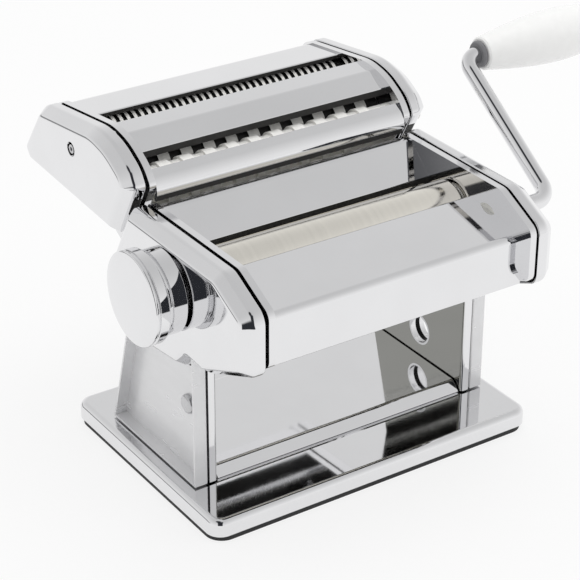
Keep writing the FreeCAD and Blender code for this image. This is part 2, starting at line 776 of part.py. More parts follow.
def knob_cap():
    """Front disc of the knob with a rounded edge and a flat face."""
    edge = 0.4
    profile = [
        (-KNOB_SEAM, 0.0),
        (-KNOB_SEAM, KNOB_R - 2 * edge),
        (-KNOB_SEAM - edge, KNOB_R),
        (-KNOB_FACE + 1.3, KNOB_R),
        (-KNOB_FACE + 0.6, KNOB_R - 0.5),
        (-KNOB_FACE + 0.2, KNOB_R - 1.5),
        (-KNOB_FACE, KNOB_R - 3.5),
        (-KNOB_FACE, 0.0),
    ]
    return turned(profile, AXIS_Y, AXIS_Z)


def index_pin():
    """Pin in the knob's back that finds the index holes."""
    return rod_x(AXIS_Y, AXIS_Z + INDEX_R, PIN_R, -KNOB_WALL - 0.5, -KNOB_BACK + 0.1)


def index_ring():
    """Ring of index holes on the left cap, one for each roller gap."""
    ring = tube_x(AXIS_Y, AXIS_Z, INDEX_RING_R, SPINDLE_R + 1.0, -INDEX_RING_X, -COVER_OUT)
    for i in range(INDEX_HOLES):
        angle = math.radians(90 + INDEX_STEP * i)
        y = AXIS_Y + INDEX_R * math.cos(angle)
        z = AXIS_Z + INDEX_R * math.sin(angle)
        ring = ring.cut(rod_x(y, z, PIN_R + 0.2, -INDEX_RING_X - 1, -COVER_OUT + 1))
    return ring


def spindle_head():
    """Screw and washer on the spindle's end that hold the knob's spring."""
    washer_face = -SPINDLE_TIP - 1.2
    washer = rod_x(AXIS_Y, AXIS_Z, SPRING_R[0] + 0.3, washer_face, -SPINDLE_TIP)
    return washer.fuse(rod_x(AXIS_Y, AXIS_Z, 4.0, washer_face - 1.0, washer_face))


def regulator_spring():
    """Envelope of the coil spring between the washer and the knob's back wall."""
    return tube_x(AXIS_Y, AXIS_Z, SPRING_R[0], SPRING_R[1], -SPINDLE_TIP, -KNOB_WALL)


# Drive and crank

def drive_gear():
    """Drive gear with its hub, spigot and two-flat crank socket."""
    wheel = roller_gear(DRIVE_Y, DRIVE_Z, 6.0, DRIVE_GEAR_PHASE)
    hub = rod_x(DRIVE_Y, DRIVE_Z, DRIVE_HUB_R, SIDE_OUT + 1.2, COVER_OUT - 0.2)
    spigot = rod_x(DRIVE_Y, DRIVE_Z, DRIVE_SPIGOT_R, SIDE_IN, SIDE_OUT + 1.2)
    whole = wheel.multiFuse([hub, spigot]).removeSplitter()
    return whole.cut(socket_cut(DRIVE_Y, DRIVE_Z, SIDE_OUT + 2.0, COVER_OUT + 1, SOCKET_PLAY))


def crank_rod():
    """Bent steel rod: socket end, arm and handle spindle."""
    corners = [
        place(SIDE_OUT + 2.5, DRIVE_Y, DRIVE_Z),
        place(CRANK_X, DRIVE_Y, DRIVE_Z),
        place(CRANK_X, HANDLE_Y, HANDLE_Z),
        place(HANDLE_X[1] - 12.0, HANDLE_Y, HANDLE_Z),
    ]
    edges = []
    start = corners[0]
    for i in (1, 2):
        back = (corners[i - 1] - corners[i]).normalize()
        ahead = (corners[i + 1] - corners[i]).normalize()
        into = corners[i] + back * CRANK_BEND_R
        out = corners[i] + ahead * CRANK_BEND_R
        inward = (back + ahead).normalize()
        middle = corners[i] + inward * (CRANK_BEND_R * (math.sqrt(2) - 1))
        edges.append(Part.LineSegment(start, into).toShape())
        edges.append(Part.Arc(into, middle, out).toShape())
        start = out
    edges.append(Part.LineSegment(start, corners[3]).toShape())
    section = Part.Wire(Part.makeCircle(ROD_R, corners[0], place(1, 0, 0)))
    rod = Part.Wire(edges).makePipeShell([section], True, False)
    if not rod.isValid() or rod.Volume < 0:
        rod.reverse()
    flat_end = COVER_OUT + 3
    y0 = DRIVE_Y - 2 * ROD_R
    y1 = DRIVE_Y + 2 * ROD_R
    end = box(SIDE_OUT, flat_end, y0, y1, DRIVE_Z - 2 * ROD_R, DRIVE_Z + 2 * ROD_R)
    flats = box(SIDE_OUT, flat_end, y0, y1, DRIVE_Z - ROD_FLAT, DRIVE_Z + ROD_FLAT)
    return rod.cut(end.cut(flats))


def handle_ferrule():
    """Ring on the rod that the handle turns against."""
    return tube_x(HANDLE_Y, HANDLE_Z, FERRULE_R, ROD_R, CRANK_X + CRANK_BEND_R, HANDLE_X[0] - 0.3)


def crank_handle():
    """Moulded grip, waisted at its inner end and domed at the outer one."""
    x0, x1 = HANDLE_X
    bore = ROD_R + RUN
    neck = place(x0, 0, HANDLE_NECK_R)
    belly = place(x0 + 50, 0, HANDLE_BELLY_R)
    crown = place(x1 - 5, 0, 9.6)
    tip = place(x1, 0, 3.0)
    nose = place(x1, 0, 0)
    bore_end = x1 - 10.0
    edges = [
        Part.Arc(neck, place(x0 + 22, 0, 12.4), belly).toShape(),
        Part.Arc(belly, place(x0 + 64, 0, 13.0), crown).toShape(),
        Part.Arc(crown, place(x1 - 1.6, 0, 6.6), tip).toShape(),
        Part.LineSegment(tip, nose).toShape(),
        Part.LineSegment(nose, place(bore_end, 0, 0)).toShape(),
        Part.LineSegment(place(bore_end, 0, 0), place(bore_end, 0, bore)).toShape(),
        Part.LineSegment(place(bore_end, 0, bore), place(x0, 0, bore)).toShape(),
        Part.LineSegment(place(x0, 0, bore), neck).toShape(),
    ]
    solid = Part.Face(Part.Wire(edges)).revolve(place(0, 0, 0), place(1, 0, 0), 360)
    solid.translate(place(0, HANDLE_Y, HANDLE_Z))
    return solid


# Cutter unit

RAIL_DOWN = (math.sin(RAIL_LEAN), -math.cos(RAIL_LEAN))
RAIL_BACK = (math.cos(RAIL_LEAN), math.sin(RAIL_LEAN))


def rail_point(down, back):
    """Side-view point at a distance down the rail plane and behind it."""
    y = RAIL_TOP[0] + RAIL_DOWN[0] * down + RAIL_BACK[0] * back
    z = RAIL_TOP[1] + RAIL_DOWN[1] * down + RAIL_BACK[1] * back
    return (y, z, 0.0)


def rail_block(x0, x1, down0, down1, back0, back1):
    """Block aligned with the rail."""
    corners = [
        rail_point(down0, back0),
        rail_point(down1, back0),
        rail_point(down1, back1),
        rail_point(down0, back1),
    ]
    return plate_x(corners, x0, x1)


def cutter_rails():
    """T-section rails behind the end caps that carry the cutter unit."""
    low = RAIL_MID - RAIL_HALF
    high = RAIL_MID + RAIL_HALF
    web = rail_block(RAIL_X - RAIL_WEB, RAIL_X + RAIL_WEB, low, high, 0.0, 3.5)
    head = rail_block(RAIL_X - RAIL_HEAD, RAIL_X + RAIL_HEAD, low, high, 3.5, 5.5)
    rail = web.fuse(head).removeSplitter()
    return Part.makeCompound([rail, mirrored(rail)])


def guide_channel():
    """Block inside the cutter's cap with a T-slot that drops over the rail."""
    low = RAIL_MID - RAIL_HALF
    high = RAIL_MID + RAIL_HALF
    web = RAIL_WEB + RAIL_PLAY
    head = RAIL_HEAD + RAIL_PLAY
    block = rail_block(SIDE_OUT, GUIDE_END, low - 2.0, high, *GUIDE_DEPTH)
    throat = rail_block(RAIL_X - web, RAIL_X + web, low - 0.2, high + 1, 1.0, 4.0)
    cavity = rail_block(RAIL_X - head, RAIL_X + head, low - 0.2, high + 1, 3.5 - RAIL_PLAY, 5.5 + RAIL_PLAY)
    return block.cut(throat).cut(cavity)


def cutter_guides():
    """Both T-slot guides of the cutter unit."""
    guide = guide_channel()
    return Part.makeCompound([guide, mirrored(guide)])


def cutter_cap():
    """Cap of the cutter unit, open at the front for the rail."""
    cap = cap_shell(CUTTER_RIM).multiFuse(bosses(CUT_BOSSES, CUT_BOSS_R, SIDE_OUT))
    notch = rail_block(SIDE_IN, GUIDE_END, -7.0, 60.0, -4.0, GUIDE_DEPTH[1])
    return cap.cut(notch)


def cutter_cover_right():
    """Right cap with the two crank openings."""
    cap = cutter_cap()
    for name in DRIVEN:
        y, z = ROLLS[name]
        cap = cap.cut(rod_x(y, z, ROLL_SHAFT + 0.35, COVER_BEVEL, COVER_OUT + 1))
    return cap


def cutter_cover_left():
    """Left cap with its face screw's counterbore."""
    y, z = FACE_SCREW
    cap = cutter_cap().fuse(rod_x(y, z, 2.6, SIDE_OUT, COVER_OUT - WALL + 0.2))
    cap = cap.cut(rod_x(y, z, SCREW_R, SIDE_OUT + 1.0, COVER_OUT + 1))
    return mirrored(cap.cut(rod_x(y, z, FACE_SCREW_HEAD_R + 0.1, COVER_OUT - 1.0, COVER_OUT + 1)))


def cutter_side(right):
    """Side plate of the cutter unit with the rolls' bearing holes."""
    plate = plate_x(inset(CUTTER_RIM, 0.2), CUT_IN, SIDE_OUT)
    holes = [(y, z, SCREW_R + SCREW_PLAY) for y, z in CUT_BOSSES]
    for name, (y, z) in ROLLS.items():
        journal = ROLL_SHAFT if right and name in DRIVEN else ROLL_JOURNAL
        holes.append((y, z, journal + CUT_BUSH_WALL))
    plate = drill(plate, holes, CUT_IN - 1, SIDE_OUT + 1)
    return plate if right else mirrored(plate)


def cutter_bushes():
    """Bearings of the four rolls in both side plates."""
    made = []
    for name, (y, z) in ROLLS.items():
        right = ROLL_SHAFT if name in DRIVEN else ROLL_JOURNAL
        left = tube_x(y, z, ROLL_JOURNAL + CUT_BUSH_WALL, ROLL_JOURNAL + RUN, CUT_IN, SIDE_OUT)
        made.append(tube_x(y, z, right + CUT_BUSH_WALL, right + RUN, CUT_IN, SIDE_OUT))
        made.append(mirrored(left))
    return Part.makeCompound(made)


def cutter_screws():
    """Screws of both caps and the socket screw in the left face."""
    y, z = FACE_SCREW
    head = rod_x(y, z, FACE_SCREW_HEAD_R, COVER_OUT - 1.0, COVER_OUT - 0.2)
    head = head.fuse(rod_x(y, z, SCREW_R, SIDE_OUT + 4.0, COVER_OUT - 1.0))
    head = head.cut(rod_x(y, z, FACE_SCREW_HEAD_R / 2, COVER_OUT - 0.8, COVER_OUT + 1))
    return Part.makeCompound(cap_screws(CUT_BOSSES, CUT_IN) + [mirrored(head)])


def cutter_front_strip():
    """Folded strip along the front of the cutter unit."""
    path = [(18.6, 140.2), (16.0, 140.2), (15.4, 149.4), (22.2, 155.0)]
    return bent_sheet(path, SHEET, CUT_IN, 0.8)


def cutter_bridge():
    """Ridge between the wide and the thin slot."""
    path = [(34.6, 152.6), (34.2, 160.8), (50.0, 167.0), (58.0, 166.0), (58.4, 161.8)]
    return bent_sheet(path, SHEET, CUT_IN, 0.8)


def cutter_rear_hood():
    """Folded sheet over the back of the cutter unit."""
    path = [(74.4, 160.6), (74.0, 164.4), (105.2, 160.6), (124.6, 133.8), (118.4, 126.0), (102.0, 124.6)]
    return bent_sheet(path, SHEET, CUT_IN, 0.8)


def ring_edges(pitch, shift):
    """Left edges of a roll's rings, half a pitch wide, clear of the roll's ends."""
    count = int((2 * ROLLER_END - pitch) // pitch)
    start = -count * pitch / 2 + shift
    return [start + i * pitch for i in range(count)]


def wide_roll(name, shift):
    """Roll with square rings that shear against its mate's."""
    y, z = ROLLS[name]
    body = rod_x(y, z, ROLL_GROOVE, -ROLLER_END, ROLLER_END)
    width = WIDE_PITCH / 2 - 0.2
    rings = [rod_x(y, z, ROLL_R, x, x + width) for x in ring_edges(WIDE_PITCH, shift)]
    return with_journals(body.multiFuse(rings).removeSplitter(), name)


def thin_roll(name, shift):
    """Roll with fine V ridges that run in its mate's valleys."""
    y, z = ROLLS[name]
    profile = [(-ROLLER_END, 0.0), (-ROLLER_END, THIN_VALLEY)]
    for x in ring_edges(THIN_PITCH, shift):
        profile.append((x, THIN_VALLEY))
        profile.append((x + THIN_PITCH / 2, THIN_PEAK))
    last = ring_edges(THIN_PITCH, shift)[-1] + THIN_PITCH
    profile += [(last, THIN_VALLEY), (ROLLER_END, THIN_VALLEY), (ROLLER_END, 0.0)]
    return with_journals(turned(profile, y, z), name)


def with_journals(roll, name):
    """Roll with its journals, and a crank socket on a driven one."""
    y, z = ROLLS[name]
    roll = roll.fuse(rod_x(y, z, ROLL_JOURNAL, -SIDE_OUT - 0.8, -ROLLER_END))
    if name in DRIVEN:
        roll = roll.fuse(rod_x(y, z, ROLL_SHAFT, ROLLER_END, COVER_OUT - 0.2))
        return roll.cut(socket_cut(y, z, SIDE_OUT + 0.5, COVER_OUT + 1, SOCKET_PLAY))
    return roll.fuse(rod_x(y, z, ROLL_JOURNAL, ROLLER_END, GEAR_X[1] + 0.5))


def cutter_gear(name):
    """Gear on one cutter roll, half a tooth out of step with its mate's."""
    y, z = ROLLS[name]
    driven = name in DRIVEN
    bore = ROLL_SHAFT if driven else ROLL_JOURNAL
    phase = 0.0 if driven else 180.0 / CUT_TEETH
    return gear(y, z, CUT_TEETH, CUT_TIP, CUT_ROOT, CUT_TOOTH_ROOT_HALF, CUT_TOOTH_TIP_HALF, bore, phase)


def comb(pair, pitch, finger, reach):
    """Two comb bars whose fingers lift the cut strands off a pair of rolls."""
    made = []
    tip = math.radians(60)
    for name, side, shift in ((pair + "_front", 1.0, 0.0), (pair + "_rear", -1.0, pitch / 2)):
        y, z = ROLLS[name]
        near, far = sorted((y + side, y + side * 6.2))
        bar = box(-CUT_IN, CUT_IN, near, far, z - COMB_LOW, z - COMB_TOP)
        corners = [
            (y + side * reach * math.cos(tip), z - reach * math.sin(tip), 0.0),
            (y + side * 5.4, z - COMB_TIP, 0.0),
            (y + side * 5.4, z - COMB_TOP, 0.0),
            (y + side * 1.6, z - COMB_TOP, 0.0),
        ]
        fingers = []
        for x in ring_edges(pitch, shift):
            middle = x - pitch * 0.25 - 0.1
            fingers.append(plate_x(corners, middle - finger / 2, middle + finger / 2))
        made.append(bar.multiFuse(fingers).removeSplitter())
    return Part.makeCompound(made)


def cutter_tie_bars():
    """Two bars that hold the cutter's side plates apart."""
    return Part.makeCompound([rod_x(y, z, CUT_TIE_R, -CUT_IN, CUT_IN) for y, z in CUT_TIE_BARS])


NODES = {
    "base_plate": base_plate,
    "base_gasket": base_gasket,
    "side_plate_left": side_plate_left,
    "side_plate_right": side_plate_right,
    "clamp_socket": clamp_socket,
    "leg_pan_left": leg_pan_left,
    "leg_pan_right": leg_pan_right,
    "leg_screws": leg_screws,
    "floor_plate": floor_plate,
    "end_cover_left": end_cover_left,
    "end_cover_right": end_cover_right,
    "cover_screws": cover_screws,
    "front_hood": front_hood,
    "rear_hood": rear_hood,
    "tie_rods": tie_rods,
    "tie_rod_nuts": tie_rod_nuts,
    "rear_roller_bushes": rear_roller_bushes,
    "regulator_bushes": regulator_bushes,
    "drive_bush": drive_bush,
    "rear_scraper": rear_scraper,
    "index_ring": index_ring,
    "cutter_rails": cutter_rails,
    "regulator_spindle": regulator_spindle,
    "spindle_head": spindle_head,
    "regulator_spring": regulator_spring,
    "front_roller_carriers": front_roller_carriers,
    "front_scraper": front_scraper,
    "front_roller": front_roller,
    "front_roller_gear": lambda: roller_gear(FRONT_Y, AXIS_Z, HUB_R, 0.0),
    "rear_roller": rear_roller,
    "rear_roller_gear": lambda: roller_gear(REAR_Y, AXIS_Z, REAR_JOURNAL_R, REAR_GEAR_PHASE),
    "knob": knob,
    "knob_cap": knob_cap,
    "index_pin": index_pin,
    "drive_gear": drive_gear,
    "crank_rod": crank_rod,
    "handle_ferrule": handle_ferrule,
    "crank_handle": crank_handle,
    "cutter_guides": cutter_guides,
    "cutter_cover_left": cutter_cover_left,
    "cutter_cover_right": cutter_cover_right,
    "cutter_side_left": lambda: cutter_side(False),
    "cutter_side_right": lambda: cutter_side(True),
    "cutter_bushes": cutter_bushes,
    "cutter_screws": cutter_screws,
    "cutter_front_strip": cutter_front_strip,
    "cutter_bridge": cutter_bridge,
    "cutter_rear_hood": cutter_rear_hood,
    "cutter_tie_bars": cutter_tie_bars,
    "wide_combs": lambda: comb("wide", WIDE_PITCH, 4.6, 7.2),
    "thin_combs": lambda: comb("thin", THIN_PITCH, 1.4, 8.9),
    "wide_roll_front": lambda: wide_roll("wide_front", 0.0),
    "wide_roll_rear": lambda: wide_roll("wide_rear", WIDE_PITCH / 2),
    "thin_roll_front": lambda: thin_roll("thin_front", 0.0),
    "thin_roll_rear": lambda: thin_roll("thin_rear", THIN_PITCH / 2),
    "wide_gear_front": lambda: cutter_gear("wide_front"),
    "wide_gear_rear": lambda: cutter_gear("wide_rear"),
    "thin_gear_front": lambda: cutter_gear("thin_front"),
    "thin_gear_rear": lambda: cutter_gear("thin_rear"),
}

os.makedirs("parts", exist_ok=True)
for node_name, make in NODES.items():
    shape = make()
    print(node_name, len(shape.Solids), shape.isValid(), round(shape.Volume))
    shape.exportStep("parts/" + node_name + ".step")
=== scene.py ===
"""Hand-cranked pasta roller: modelled metal work, finishes, light and camera around the frame."""

import json
import logging
import math
from contextlib import contextmanager
from dataclasses import dataclass
from enum import Enum
from typing import Callable, Dict, Iterator, List, Optional, Sequence, Tuple, Union

import bmesh
import bpy
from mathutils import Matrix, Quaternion, Vector

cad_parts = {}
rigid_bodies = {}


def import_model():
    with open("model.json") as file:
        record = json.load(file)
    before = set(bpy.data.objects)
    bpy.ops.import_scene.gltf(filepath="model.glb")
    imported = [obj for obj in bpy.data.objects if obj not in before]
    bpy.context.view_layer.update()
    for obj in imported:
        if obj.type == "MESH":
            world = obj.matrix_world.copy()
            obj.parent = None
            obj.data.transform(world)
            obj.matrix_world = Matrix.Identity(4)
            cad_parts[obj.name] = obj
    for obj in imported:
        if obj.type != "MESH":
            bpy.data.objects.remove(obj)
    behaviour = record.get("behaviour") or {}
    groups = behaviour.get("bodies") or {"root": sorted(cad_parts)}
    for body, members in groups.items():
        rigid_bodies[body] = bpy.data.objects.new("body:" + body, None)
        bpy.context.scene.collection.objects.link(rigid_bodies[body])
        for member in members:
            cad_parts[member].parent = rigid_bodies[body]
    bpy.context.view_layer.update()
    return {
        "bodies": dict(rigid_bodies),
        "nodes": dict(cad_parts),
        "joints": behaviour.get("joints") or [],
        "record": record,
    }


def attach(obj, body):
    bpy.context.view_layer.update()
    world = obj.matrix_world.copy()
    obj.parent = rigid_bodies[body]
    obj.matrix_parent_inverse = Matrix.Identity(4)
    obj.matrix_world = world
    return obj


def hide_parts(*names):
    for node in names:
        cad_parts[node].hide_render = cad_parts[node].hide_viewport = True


LOG = logging.getLogger("pasta_roller")
MM = 0.001
TOLERANCE = 0.001
FULL_WHITE = (1.0, 1.0, 1.0)

SidePoint = Tuple[float, float]
Triple = Tuple[float, float, float]
Span = Tuple[float, float]
Socket = bpy.types.NodeSocket
Piece = bpy.types.Object
Inputs = Dict[Union[str, int], object]


class Slot(Enum):
    """Material slots of the record."""

    CHROME = "chrome"
    STEEL = "steel"
    NYLON = "nylon"
    RUBBER = "rubber"
    ROLLER = "roller"
    FERRULE = "ferrule"
    WHITE = "white_plastic"


class Body(Enum):
    """Bodies of the frame that pieces ride on."""

    FRAME = "frame"
    CUTTER = "cutter_unit"
    KNOB = "knob"
    CRANK = "crank"
    HANDLE = "handle"
    FRONT_ROLLER = "front_roller"
    REAR_ROLLER = "rear_roller"
    WIDE_FRONT = "wide_roll_front"
    WIDE_REAR = "wide_roll_rear"
    THIN_FRONT = "thin_roll_front"
    THIN_REAR = "thin_roll_rear"


class Look(Enum):
    """Finishes beside those of the record's slots."""

    # Near-black painted shade on inner walls of caps and sheets, slot lips, cap joint walls and
    # roll grooves.
    PAINTED_SHADE = "lining"
    SIDE_PLATE = "side_plate"
    SOCKET = "socket"
    CUTTER_ALLOY = "cutter_alloy"
    SATIN_STEEL = "satin_steel"


class Graph:
    """Node tree of a material or of the world, with the steps that these share."""

    def __init__(self, owner: Union[bpy.types.Material, bpy.types.World]) -> None:
        """Switch the owner's nodes on and keep its tree.

        Args:
            owner: the material or the world.
        """
        owner.use_nodes = True
        self.nodes = owner.node_tree.nodes
        self.links = owner.node_tree.links

    def feed(self, node: bpy.types.Node, inputs: Inputs) -> None:
        """Link or set a node's inputs.

        Args:
            node: the node.
            inputs: for each input, by name or number, a socket to link or a constant.
        """
        for key, value in inputs.items():
            if isinstance(value, Socket):
                self.links.new(value, node.inputs[key])
            else:
                node.inputs[key].default_value = value

    def add(
        self, kind: str, inputs: Optional[Inputs] = None, **settings: object
    ) -> bpy.types.Node:
        """Add a node.

        Args:
            kind: the node's type.
            inputs: what its inputs get, as in feed.
            settings: the node's own settings.

        Returns:
            The new node.
        """
        node = self.nodes.new(kind)
        for key, value in settings.items():
            setattr(node, key, value)
        self.feed(node, inputs or {})
        return node

    def place(self, kind: str) -> Socket:
        """Coordinates of one kind."""
        return self.add("ShaderNodeTexCoord").outputs[kind]

    def math(self, kind: str, *values: object) -> Socket:
        """Result of one math step on one or two values."""
        node = self.add("ShaderNodeMath", dict(enumerate(values)), operation=kind)
        return node.outputs["Value"]

    def spread(self, value: Socket, limits: Span, ends: Span, step: str = "LINEAR") -> Socket:
        """Carry a value from one span over to another.

        Args:
            value: the value.
            limits: the span that it comes from.
            ends: the span that it goes to.
            step: the kind of step between the ends.

        Returns:
            The carried value.
        """
        names = ("From Min", "From Max", "To Min", "To Max")
        inputs = dict(zip(names, (*limits, *ends)))
        inputs["Value"] = value
        node = self.add("ShaderNodeMapRange", inputs, interpolation_type=step)
        return node.outputs["Result"]

    def fade(self, value: Socket, limits: Span, ends: Span) -> Socket:
        """Soft step of a value from one end to the other between two limits."""
        return self.spread(value, limits, ends, "SMOOTHSTEP")

    def ramp(self, value: Socket, colours: Sequence[Triple], at: Span = (0.0, 1.0)) -> Socket:
        """Colour that a value picks between two colours.

        Args:
            value: the value.
            colours: the two colours.
            at: values at which each of them is reached.

        Returns:
            The picked colour.
        """
        node = self.add("ShaderNodeValToRGB", {"Fac": value})
        for index, (colour, position) in enumerate(zip(colours, at)):
            node.color_ramp.elements[index].position = position
            node.color_ramp.elements[index].color = (*colour, 1.0)
        return node.outputs["Color"]

    def along(self, direction: Triple, kind: str) -> Socket:
        """How far a ray's direction, or a place on the floor, runs along a direction."""
        inputs = {0: self.place(kind), 1: Vector(direction).normalized()}
        return self.add("ShaderNodeVectorMath", inputs, operation="DOT_PRODUCT").outputs["Value"]

    def aside(self, ahead: Triple, kind: str) -> Socket:
        """How far it runs to either side of a level direction."""
        return self.math("ABSOLUTE", self.along((-ahead[1], ahead[0], 0.0), kind))


@dataclass(frozen=True)
class Shade:
    """Part of a piece with painted shade, such as the inside of a plate.

    Attributes:
        span: distances from the middle plane between which the shade is painted, in metres.
        colour: linear colour of the painted shade.
        top: height up to which the shade is painted, in metres.
    """

    span: Span
    colour: Triple
    top: float = 0.095

    def mask(self, graph: Graph, place: Socket) -> Socket:
        """One where the shade is painted.

        Args:
            graph: the material's nodes.
            place: the piece's own coordinates.

        Returns:
            One in the painted shade, and zero outside it.
        """
        parts = graph.add("ShaderNodeSeparateXYZ", {"Vector": place}).outputs
        away = graph.math("ABSOLUTE", parts["X"])
        inside = graph.math("GREATER_THAN", away, self.span[0])
        for value, limit in ((away, self.span[1]), (parts["Z"], self.top)):
            inside = graph.math("MULTIPLY", inside, graph.math("LESS_THAN", value, limit))
        return inside


@dataclass(frozen=True)
class Finish:
    """One surface finish, built as a node material.

    Attributes:
        name: the material's name.
        colour: linear base colour.
        metallic: 1 for bare metal, 0 for plastic or rubber.
        roughness: lowest and highest roughness over the surface.
        grain: size of the surface's unevenness along X, Y and Z, in cells per metre.
        relief: depth of the surface's relief, in metres.
        tint: how far the colour wanders from its mean.
        coat: weight of a clear coat.
        shade: a part with painted shade.
        detail: octaves of the unevenness.
        rough_limits: unevenness between which the roughness goes from low to high.
        tint_limits: unevenness between which the colour wanders.
    """

    name: str
    colour: Triple
    metallic: float
    roughness: Span
    grain: Triple
    relief: float
    tint: float = 0.02
    coat: float = 0.0
    shade: Optional[Shade] = None
    detail: float = 4.0
    rough_limits: Span = (0.3, 0.7)
    tint_limits: Span = (0.35, 0.65)

    def material(self) -> bpy.types.Material:
        """Build the node material.

        Returns:
            The new material.
        """
        made = bpy.data.materials.new(self.name)
        graph = Graph(made)
        place = graph.place("Object")
        stretch = graph.add("ShaderNodeMapping", {"Vector": place, "Scale": self.grain})
        cells = {"Vector": stretch.outputs["Vector"], "Scale": 1.0, "Detail": self.detail}
        noise = graph.add("ShaderNodeTexNoise", cells).outputs["Fac"]
        relief = {"Height": noise, "Strength": 1.0, "Distance": self.relief}
        bump = graph.add("ShaderNodeBump", relief)
        graph.feed(
            graph.nodes["Principled BSDF"],
            {
                "Base Color": self.varied_colour(graph, noise, place),
                "Metallic": self.metallic,
                "Roughness": graph.spread(noise, self.rough_limits, self.roughness),
                "Coat Weight": self.coat,
                "Normal": bump.outputs["Normal"],
            },
        )
        return made

    def varied_colour(self, graph: Graph, noise: Socket, place: Socket) -> Socket:
        """Let the colour wander a little around its mean, and paint shade on the shaded part.

        Args:
            graph: the material's nodes.
            noise: the surface's unevenness.
            place: the piece's own coordinates.

        Returns:
            The colour.
        """
        low = tuple(max(0.0, c * (1 - self.tint)) for c in self.colour)
        high = tuple(min(1.0, c * (1 + self.tint)) for c in self.colour)
        colour = graph.ramp(noise, (low, high), self.tint_limits)
        if not self.shade:
            return colour
        blend = graph.add("ShaderNodeMix", data_type="RGBA")
        mask = self.shade.mask(graph, place)
        graph.feed(blend, {"Factor": mask, "A": colour, "B": (*self.shade.colour, 1.0)})
        return blend.outputs["Result"]


STEEL_GREY = (0.80, 0.80, 0.81)
EVEN_GRAIN = (38, 38, 38)
# Painted shade: the side plates' inner faces below 95 mm are painted grey.
PLATE_PAINTED_SHADE = Shade((0.070, 0.0749), (0.38, 0.38, 0.355))
# Painted shade: the clamp socket's band between the side plate and the cap is painted black.
SOCKET_PAINTED_SHADE = Shade((0.0775, 0.0802), (0.01, 0.01, 0.01))
FINISHES = {
    Slot.CHROME: Finish("mirror_chrome", STEEL_GREY, 1.0, (0.03, 0.06), EVEN_GRAIN, 4e-6, 0.01),
    Slot.STEEL: Finish(
        "turned_steel", (0.56, 0.56, 0.57), 1.0, (0.20, 0.30), (900, 90, 90), 2e-6, 0.05
    ),
    Slot.NYLON: Finish(
        "natural_nylon", (0.84, 0.83, 0.78), 0.0, (0.42, 0.55), (300, 300, 300), 1e-5
    ),
    Slot.RUBBER: Finish(
        "black_rubber", (0.016, 0.016, 0.017), 0.0, (0.55, 0.75), (700, 700, 700), 5e-5, 0.2
    ),
    Slot.ROLLER: Finish(
        "satin_roller", (0.86, 0.83, 0.76), 1.0, (0.11, 0.15), (420, 6, 6), 1e-6
    ),
    Slot.FERRULE: Finish(
        "grey_ferrule", (0.20, 0.20, 0.21), 0.0, (0.35, 0.5), (500, 500, 500), 1e-5, 0.06
    ),
    Slot.WHITE: Finish(
        "white_handle", (0.93, 0.93, 0.92), 0.0, (0.16, 0.24), (240, 240, 240), 6e-6, 0.01, 0.4
    ),
    Look.SIDE_PLATE: Finish(
        "side_plate_steel_painted_shade", STEEL_GREY, 1.0, (0.05, 0.08), EVEN_GRAIN, 3e-6, 0.01,
        shade=PLATE_PAINTED_SHADE,
    ),
    Look.SOCKET: Finish(
        "socket_steel_painted_shade", STEEL_GREY, 1.0, (0.10, 0.15), EVEN_GRAIN, 3e-6, 0.01,
        shade=SOCKET_PAINTED_SHADE,
    ),
    # Painted shade: near-black colour for surfaces that lie in shade, not a real lining.
    Look.PAINTED_SHADE: Finish(
        "painted_shade_dull", (0.035, 0.034, 0.033), 0.4, (0.45, 0.6), (200, 200, 200), 4e-6, 0.1
    ),
    Look.SATIN_STEEL: Finish("satin_steel", STEEL_GREY, 0.4, (0.24, 0.28), (40, 40, 160), 0.0),
    Look.CUTTER_ALLOY: Finish(
        "cutter_alloy", (0.93, 0.92, 0.89), 0.1, (0.30, 0.40), (400, 60, 60), 2e-6
    ),
}
DRESSED_NODES = {
    "leg_pan_left": Look.SATIN_STEEL,
    "leg_pan_right": Look.SATIN_STEEL,
    "side_plate_left": Look.SIDE_PLATE,
    "side_plate_right": Look.SIDE_PLATE,
    "clamp_socket": Look.SOCKET,
}


